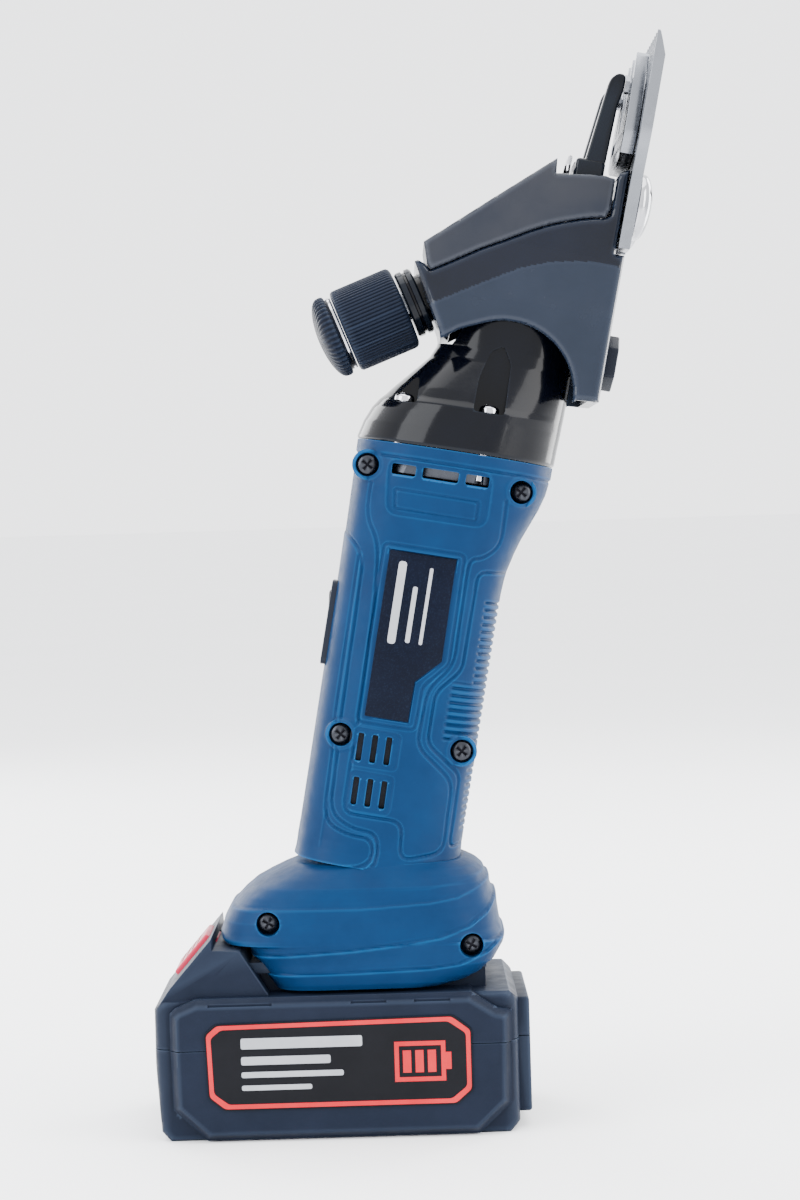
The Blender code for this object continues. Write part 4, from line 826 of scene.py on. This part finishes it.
def head():
    """Casting and cover: leaning, softly edged side walls around the hollow the fork swings in."""
    bed = COMB_FACE + GAP
    side = bed_outline([(0.0, -22.4), (0.0, 24.2), (bed, 24.2), (bed, 51.0), (5.9, 49.6), (6.5, 47.5),
                        (6.6, 36.0)] + SEAM + [(61.6, 11.4), (63.9, 12.2)] + REAR_WALL[::-1])
    outline = side + arch_line()
    body = slab("casting", BED, outline, head_side(outline, 1.6), 0.6, HEAD)
    room = bed_outline([(3.5, -45.0), (3.5, 16.0), (6.8, 21.0), (6.8, 70.0), (40.0, 70.0), (75.0, 30.0),
                        (59.0, 9.2), (50.0, -8.0), (50.0, -45.0)])
    cut(body, prism("room", BED, room, -22.7, 22.7))
    cut(body, lathe("sleeve_hole", TENSION, bar(8.3, 2.0, 30.0)),
        lathe("post_hole", POST, bar(4.3, -5.0, 10.0)))
    for y in COMB_SCREW_Y:
        cut(body, lathe("tap", into_head(y, COMB_SCREW_V), bar(2.9, -5.0, 12.0), sides=32))
    # painted shade on the leaning band above the crease
    paint_band_shade(body)
    settle(body, "housing", "black_paint", "head_casting", sharp=30.0)
    lower = [(n, v + GAP) for n, v in SEAM]
    outline = bed_outline([(7.0, 38.0), (6.9, 47.5), (10.2, 48.1), (18.2, 47.3), (25.6, 46.1), (26.1, 50.9),
                           (63.1, 18.2), (60.9, 11.6)] + lower[::-1])
    cover = slab("cover", BED, outline, head_side(outline, 1.3), 0.6, COVER)
    room = bed_outline([(0.0, 20.0), (0.0, 60.0), (22.0, 60.0), (22.0, 50.3), (27.0, 46.2), (60.0, 17.0),
                        (56.5, 10.5), (52.0, 5.0), (30.0, 5.0)])
    cut(cover, prism("room", BED, room, -23.5, 23.5))
    cut(cover, block("yoke_room", BED, (-21.6, 2.0), (-26.6, 26.6), (44.0, 60.0)),
        lathe("sleeve_notch", TENSION, bar(8.4, 4.0, 30.0)))
    settle(cover, "housing", "black_satin", "top_cover", sharp=30.0)
    hexagon = patch(arc(0.0, 0.0, 9.2, 0.0, 300.0, 6), 0.8)
    nut = bevelled(prism("nut", POST, hexagon, -4.6, -GAP, "Z", SATIN), 0.5, 3)
    cut(nut, lathe("bore", POST, bar(4.3, -9.0, 3.0)))
    settle(nut, "housing", "black_satin", "fulcrum_nut")


# ---------------------------------------------------------------- blades and fork

def tooth(y, flank, tip_v):
    """Outline of one tooth: out along one flank, over its tip and back along the other."""
    return [(y + half, v) for half, v in flank] + [(y, tip_v)] + [(y - half, v) for half, v in flank[::-1]]


def blades():
    """Comb with its teeth and slots, its two domed bolts, and the cutter that swings on it."""
    outer = COMB_THICKNESS - COMB_FACE
    teeth, half = 13, 38.0
    pitch = (2.0 * half - 3.0) / (teeth - 1)
    outline = [(-30.0, 26.0), (30.0, 26.0), (31.2, 40.0), (32.8, 49.0), (35.0, 56.0), (37.0, 60.0)]
    for number in range(teeth):
        y = ((teeth - 1) / 2.0 - number) * pitch
        outline += tooth(y, [(1.45, 64.0), (1.2, 82.0), (0.95, 90.6), (0.35, 93.7)], 94.0)
    outline += [(-37.0, 60.0), (-35.0, 56.0), (-32.8, 49.0), (-31.2, 40.0)]
    comb = prism("comb_plate", BED, outline, -COMB_FACE, outer, "X", GROUND)
    relief = bed_outline([(-1.1, 86.1), (1.9, 94.6), (1.9, 100.0), (-10.0, 100.0), (-10.0, 86.1)])
    cut(comb, prism("relief", BED, relief, -60.0, 60.0))
    seat = outer + GAP
    dome = [(10.6 * math.sin(a), 2.4 + 3.9 * math.cos(a)) for a in np.linspace(0.02, math.pi / 2.0, 14)]
    profile = dome + [(10.6, seat + 0.4), (10.2, seat), (2.5, seat), (2.5, -6.0), (0.01, -6.0)]
    for number, y in enumerate(COMB_SCREW_Y, start=1):
        slot = [(y - 3.1, 20.0), (y + 3.1, 20.0)] + arc(y, COMB_SCREW_V + 1.5, 3.1, 0.0, 180.0, 16)
        cut(comb, prism("slot", BED, slot, -20.0, 20.0, "X"))
        out = turned_to(at(BED, 0.0, y, COMB_SCREW_V), "Y", 90.0)
        screw = lathe("comb_bolt_%d" % number, out, profile[::-1], CHROME, 72)
        turned = turned_to(out, "Z", 35.0 + 20.0 * number)
        cut(screw, block("slit", turned, (-12.0, 12.0), (-0.8, 0.8), (4.6, 8.0)))
        settle(screw, "housing", "chrome", "comb_screw_%d" % number)
    settle(bevelled(comb, 0.18, 1, 40.0), "housing", "ground_steel", "comb")
    plan = [(-25.0, 56.0), (-18.0, 54.0), (-12.0, 53.2), (12.0, 53.2), (18.0, 54.0), (25.0, 56.0),
            (28.3, 62.0)]
    for number in range(4):
        plan += tooth((1.5 - number) * 15.0, [(5.8, 66.0), (3.6, 77.0), (1.2, 87.0)], 88.5)
    plan += [(-28.3, 62.0)]
    blade = prism("cutter_blade", BED, plan, -7.0, -COMB_FACE - GAP, "X", GROUND)
    cut(blade, block("hollow", BED, (-8.0, -6.3), (-24.0, 24.0), (60.5, 64.5)))
    for y in FORK_TIP_Y:
        cut(blade, lathe("tip_hole", into_head(y, FORK_TIP_V), bar(2.3, 1.0, 12.0), sides=32))
    settle(bevelled(blade, 0.3, 2, 40.0), "fork", "ground_steel", "cutter")


def fork():
    """Painted fork: beam, yoke, cheeks and two round-edged arms."""
    beam = bed_outline([(26.6, -22.5), (33.6, -22.5), (33.8, -6.0), (23.5, 14.0), (18.6, 28.8), (18.8, 44.0),
                        (20.2, 50.4), (20.2, 53.2), (10.4, 53.2), (10.4, 46.0), (12.6, 28.0), (17.6, 12.0),
                        (25.0, -2.0), (25.0, -12.0)])
    body = bevelled(prism("fork_frame", BED, beam, -9.0, 9.0, shader=GLOSS), 0.8, 2)
    join(body, bevelled(block("yoke", BED, (-20.0, -10.6), (-21.0, 21.0), (46.5, 53.0)), 1.2, 3),
         bevelled(block("bridge", BED, (-34.0, -26.4), (-11.4, 11.4), (-24.6, -19.5)), 0.6, 2),
         lathe("boss", TENSION, bar(5.0, 55.0, 62.0)))
    arm = bed_outline([(17.2, 52.0), (14.0, 77.9), (13.3, 79.6), (11.6, 81.2), (9.6, 81.2), (8.9, 80.1),
                       (8.9, 76.2), (10.0, 71.0), (10.7, 52.0)])
    for side in SIDES:
        join(body, bevelled(prism("arm", BED, patch(arm, 1.0), *span(side, 13.0, 20.8)), 1.3, 4, 40.0))
        cheek = block("cheek", BED, (-34.2, -26.6), span(side, 8.4, 11.2), (-32.6, -22.0))
        join(body, bevelled(cheek, 0.4))
    seat = [(4.85 * math.sin(a), -4.85 * math.cos(a)) for a in np.linspace(0.02, math.pi - 0.02, 20)]
    cut(body, lathe("seat", into_head(0.0, PIVOT_V, 23.5), seat))
    settle(body, "fork", "black_paint", "fork", sharp=36.0)


# ---------------------------------------------------------------- tension screw

def tension():
    """Stepped sleeve, ribbed knob and its domed cap with a bright ring between them."""
    profile = [(0.01, 0.6), (10.4, 0.6), (11.0, 1.2), (11.0, 2.9), (10.3, 3.2), (10.3, 3.8), (11.0, 4.1),
               (11.0, 5.5), (10.4, 6.1), (8.0, 6.1), (8.0, 26.0), (0.01, 26.0)]
    sleeve = lathe("sleeve", TENSION, profile, GLOSS, 96)
    cut(sleeve, lathe("bore", TENSION, bar(5.3, -1.0, 28.0)))
    settle(sleeve, "housing", "black_satin", "tension_sleeve")

    def fine_ribs(radius, height, angles):
        """Ripples round the knob's widest part, at every height."""
        return -0.32 * (0.5 + 0.5 * np.cos(72.0 * angles)) ** 2 * (radius > 13.3)

    profile = [(0.01, -21.0), (12.4, -21.0), (13.2, -20.7), (13.7, -20.0), (13.74, -18.0), (13.74, -2.0),
               (13.6, -1.0), (13.0, -0.3), (12.2, 0.0), (0.01, 0.0)]
    knob = lathe("knob", TENSION, profile, KNOB, 576, fine_ribs)
    cut(knob, lathe("bore", TENSION, bar(5.4, -24.0, 3.0)),
        lathe("dish", TENSION, [(0.01, -1.2), (9.6, -1.2), (10.2, 1.0), (0.01, 1.0)]))
    settle(knob, "tension_knob", "navy_plastic", "tension_knob", sharp=50.0)

    def coarse_ribs(radius, height, angles):
        """Ripples on the dome that fade towards its middle."""
        share = np.clip((radius - 6.0) / 7.0, 0.0, 1.0)
        return -0.38 * (0.5 + 0.5 * np.cos(48.0 * angles)) * share * (height < -23.2)

    dome = [(13.4 * math.sin(a), -25.4 - 4.55 * math.cos(a)) for a in np.linspace(0.03, math.pi / 2.0, 16)]
    profile = dome + [(13.5, -24.4), (13.2, -23.6), (12.6, -23.3), (12.0, -23.2), (12.0, -21.3),
                      (0.01, -21.3)]
    settle(lathe("lock_cap", TENSION, profile, KNOB, 480, coarse_ribs), "tension_knob", "navy_plastic",
           "tension_lock_cap", sharp=50.0)
    band = [(0.01, -22.7), (12.1, -22.7), (12.35, -22.5), (12.35, -21.9), (12.1, -21.7), (0.01, -21.7)]
    settle(lathe("bright_ring", TENSION, band, CHROME, 96), "tension_knob", "chrome")


# ---------------------------------------------------------------- battery

LABEL = [(-41.3, 34.6), (-37.9, 37.6), (36.6, 38.5), (42.4, 34.0), (42.4, 14.8), (37.4, 10.4), (-35.8, 10.4),
         (-40.6, 14.4)]
WEDGE = [(-55.2, 43.9), (-52.1, 48.3), (-38.9, 63.4), (-38.6, 59.8), (-29.9, 59.4), (-21.2, 45.6),
         (-21.0, 43.4), (-55.0, 43.2)]
PACK_LEFT, PACK_RIGHT, PACK_HALF_Y, PACK_CORNER = -57.7, 57.5, 33.0, 5.0
CELL_ROOM_X, CELL_ROOM_Y = (-54.6, 52.0), (-31.8, 31.8)
END_GROOVES = (-21.0, -14.0, -7.0, 0.0, 7.0, 14.0, 21.0)
END_X, END_Y = (50.0, 61.2), (-26.0, 26.0)


def shrunk(points, margin):
    """An outline drawn in towards its middle by a margin on each side."""
    spots = np.asarray(points)
    low, high = spots.min(axis=0), spots.max(axis=0)
    middle, reach = (low + high) / 2.0, (high - low) / 2.0
    return [tuple(p) for p in middle + (spots - middle) * (reach - margin) / reach]


def body_side(outline, radius):
    """Half width of the battery body with its upright corners rounded in plan."""
    def half_width(x, z):
        corner = edge_round(np.minimum(x - PACK_LEFT, PACK_RIGHT - x), PACK_CORNER)
        return PACK_HALF_Y - corner - edge_round(signed(x, z, outline), radius)
    return half_width


def panel_side(outline):
    """Half width of a raised side panel: a soft chamfer all round and a faint dish."""
    def half_width(x, z):
        depth = signed(x, z, outline)
        return PANEL_HALF_Y - 2.6 * (1.0 - smooth(depth, 0.0, 2.6)) - 0.10 * smooth(depth, 3.0, 4.0)
    return half_width


def release_frame():
    """Middle of the release button on the wedge's slope, Z out of it."""
    return turned_to(at(BATTERY, -45.5, 0.0, 55.8), "Y", -math.degrees(math.atan2(15.1, 13.2)))


def battery():
    """Two case halves with the wedge, their four screws and the release button."""
    body_low = [(-57.6, 40.0), (-57.6, 24.0), (-56.0, 3.0), (-53.0, 0.0), (54.0, 0.0), (57.2, 3.0),
                (57.4, 40.0)]
    panel_low = [(-52.5, 41.0), (-51.8, 10.5), (-41.3, 0.5), (44.2, 0.5), (54.4, 10.0), (55.2, 41.0)]
    lower = slab("pack_lower", BATTERY, body_low, body_side(body_low, 1.5), 0.8, SLATE)
    join(lower, slab("panel", BATTERY, panel_low, panel_side(panel_low), 0.6, SLATE),
         bevelled(block("end", BATTERY, END_X, END_Y, (5.0, 42.0)), 1.0, 3))
    cut(lower, block("above", BATTERY, (-80.0, 80.0), (-60.0, 60.0), (SEAM_Z, 60.0)),
        block("room", BATTERY, CELL_ROOM_X, CELL_ROOM_Y, (2.5, 40.0)))
    body_top = [(-57.6, 20.0), (-57.4, 41.5), (-54.4, DECK_Z - 0.6), (54.6, DECK_Z - 0.6), (57.4, 42.0),
                (57.4, 20.0)]
    panel_top = [(-52.5, 19.0), (-52.2, 40.8), (-50.3, 42.6), (-44.0, DECK_Z), (42.4, DECK_Z), (50.6, 40.0),
                 (55.2, 39.0), (55.2, 19.0)]
    upper = slab("pack_upper", BATTERY, body_top, body_side(body_top, 1.2), 0.8, SLATE)
    join(upper, slab("panel", BATTERY, panel_top, panel_side(panel_top), 0.6, SLATE),
         bevelled(block("end", BATTERY, END_X, END_Y, (18.0, 41.4)), 1.0, 3),
         bevelled(prism("wedge", BATTERY, WEDGE, -32.0, 32.0), 0.7, 3),
         block("neck", BATTERY, (-30.0, 47.6), (-22.0, 22.0), (43.8, 52.6)),
         block("flange", BATTERY, (-31.0, 47.9), (-26.0, 26.0), (51.4, 54.8)))
    cut(upper, block("below", BATTERY, (-80.0, 80.0), (-60.0, 60.0), (-20.0, SEAM_Z + GAP)),
        block("room", BATTERY, CELL_ROOM_X, CELL_ROOM_Y, (20.0, 42.8)))
    notches = []
    for low, high in ((-40.0, -20.0), (4.8, 15.9), (24.6, 35.9)):
        for side in SIDES:
            notches.append(block("notch", BATTERY, (low, high), span(side, 36.6, 40.0), (42.9, 47.0)))
    cut(upper, *notches)
    for case, zs in ((upper, (31.5, 39.5)), (lower, (7.5, 26.5))):
        cut(case, *[block("end_groove", BATTERY, (60.2, 66.0), (y - 1.6, y + 1.6), zs) for y in END_GROOVES])
    for number, (x, y) in enumerate(BATTERY_SCREWS, start=1):
        spot = at(BATTERY, x, y)
        join(upper, lathe("column", spot, bar(2.8, 6.0, 43.6), sides=32))
        cut(upper, lathe("hole", spot, bar(1.8, 0.0, 18.0), sides=24))
        cut(lower, lathe("hole", spot, bar(1.8, -5.0, 10.0), sides=24),
            lathe("head_hole", spot, bar(3.3, -5.0, 1.5), sides=32))
        profile = [(0.01, 0.4), (2.6, 0.4), (2.9, 0.7), (2.9, 1.2), (1.5, 1.2), (1.5, 16.0), (0.01, 16.0)]
        screw = lathe("pack_screw_%d" % number, spot, profile, DARK, 32)
        turned = turned_to(spot, "Z", 40.0 * number)
        cut(screw, block("slit", turned, (-1.9, 1.9), (-0.35, 0.35), (-1.0, 0.9)))
        settle(screw, "battery", "dark_steel", "battery_screw_%d" % number)
    slope = release_frame()
    cut(upper, block("button_pocket", slope, (-9.0, 7.8), (-12.4, 12.4), (-9.0, 20.0)))
    settle(lower, "battery", "grey_plastic", "battery_lower_case", sharp=34.0)
    settle(upper, "battery", "grey_plastic", "battery_upper_case", sharp=34.0)
    button = bevelled(block("button", slope, (-8.6, 7.4), (-12.0, 12.0), (-4.6, 1.5), CRIMSON), 0.8, 3)
    cut(button, lathe("bore", slope, bar(3.9, -10.0, -0.2)),
        *[block("grip_line", slope, (x - 0.45, x + 0.45), (-9.0, 9.0), (1.1, 3.0))
          for x in (-5.0, -2.4, 0.2, 2.8)])
    settle(button, "release_button", "red_plastic", "release_button")


def labels():
    """Charcoal label with a coral border, plain bars and a battery pictogram; no lettering."""
    bars = [(-30.0, 8.0, 29.6, 33.0), (-30.0, -2.0, 24.6, 27.2), (-30.0, 2.0, 20.6, 22.4),
            (-30.0, -8.0, 16.6, 18.2)]
    symbol = [(18.0, 18.0), (34.0, 18.0), (34.0, 21.6), (35.8, 21.6), (35.8, 27.0), (34.0, 27.0),
              (34.0, 30.6), (18.0, 30.6)]
    for side, face in FACES:
        label, ink = "label_" + face, span(side, 37.9, 38.12)
        plate = prism(label, BATTERY, patch(LABEL, 1.0), *span(side, 37.8, 38.02), shader=CHARCOAL)
        settle(plate, "battery", "label_film", "battery_" + label)
        border = prism("border_" + face, BATTERY, patch(shrunk(LABEL, 0.5), 1.0), *span(side, 37.9, 38.15),
                       shader=CORAL)
        cut(border, prism("middle", BATTERY, patch(shrunk(LABEL, 1.9), 1.0), -60.0, 60.0))
        settle(border, "battery", "label_film")
        for number, corners in enumerate(bars, start=1):
            outline = patch(rectangle(*corners), 0.7)
            stripe = prism("%s_bar_%d" % (label, number), BATTERY, outline, *ink, shader=PALE)
            settle(stripe, "battery", "label_film")
        cell = prism(label + "_cell", BATTERY, symbol, *ink, shader=CORAL)
        cut(cell, prism("hollow", BATTERY, rectangle(19.4, 32.6, 19.4, 29.2), -60.0, 60.0))
        settle(cell, "battery", "label_film")
        for number, left in enumerate((20.6, 24.5, 28.4), start=1):
            outline = rectangle(left, left + 2.6, 20.8, 27.8)
            charge = prism("%s_charge_%d" % (label, number), BATTERY, outline, *ink, shader=CORAL)
            settle(charge, "battery", "label_film")


gear_housing()
head()
blades()
fork()
tension()
battery()
labels()

CAD_LOOKS = {"blue_plastic": BLUE, "black_paint": GLOSS, "black_satin": SATIN, "navy_plastic": KNOB,
             "grey_plastic": SLATE, "red_plastic": CRIMSON, "ground_steel": GROUND, "dark_steel": DARK,
             "chrome": CHROME, "green_board": BOARD, "label_film": CHARCOAL, "cell_wrap": WRAP}
# painted shade: the gear plate, seen through the top vents, gets dark steel so the vents read dark
SHADE_LOOKS = {"gear_plate": DARK}           # hidden pieces that look unlike their slot


def carry_over():
    """Every CAD node that still shows gets its slot's procedural material."""
    for entry in frame["record"]["subparts"]:
        node = frame["nodes"][entry["node"]]
        node.data.materials.clear()
        # the gear plate takes a dark look as painted shade behind the vents
        node.data.materials.append(SHADE_LOOKS.get(entry["node"], CAD_LOOKS[entry["material_slot"]]))


carry_over()
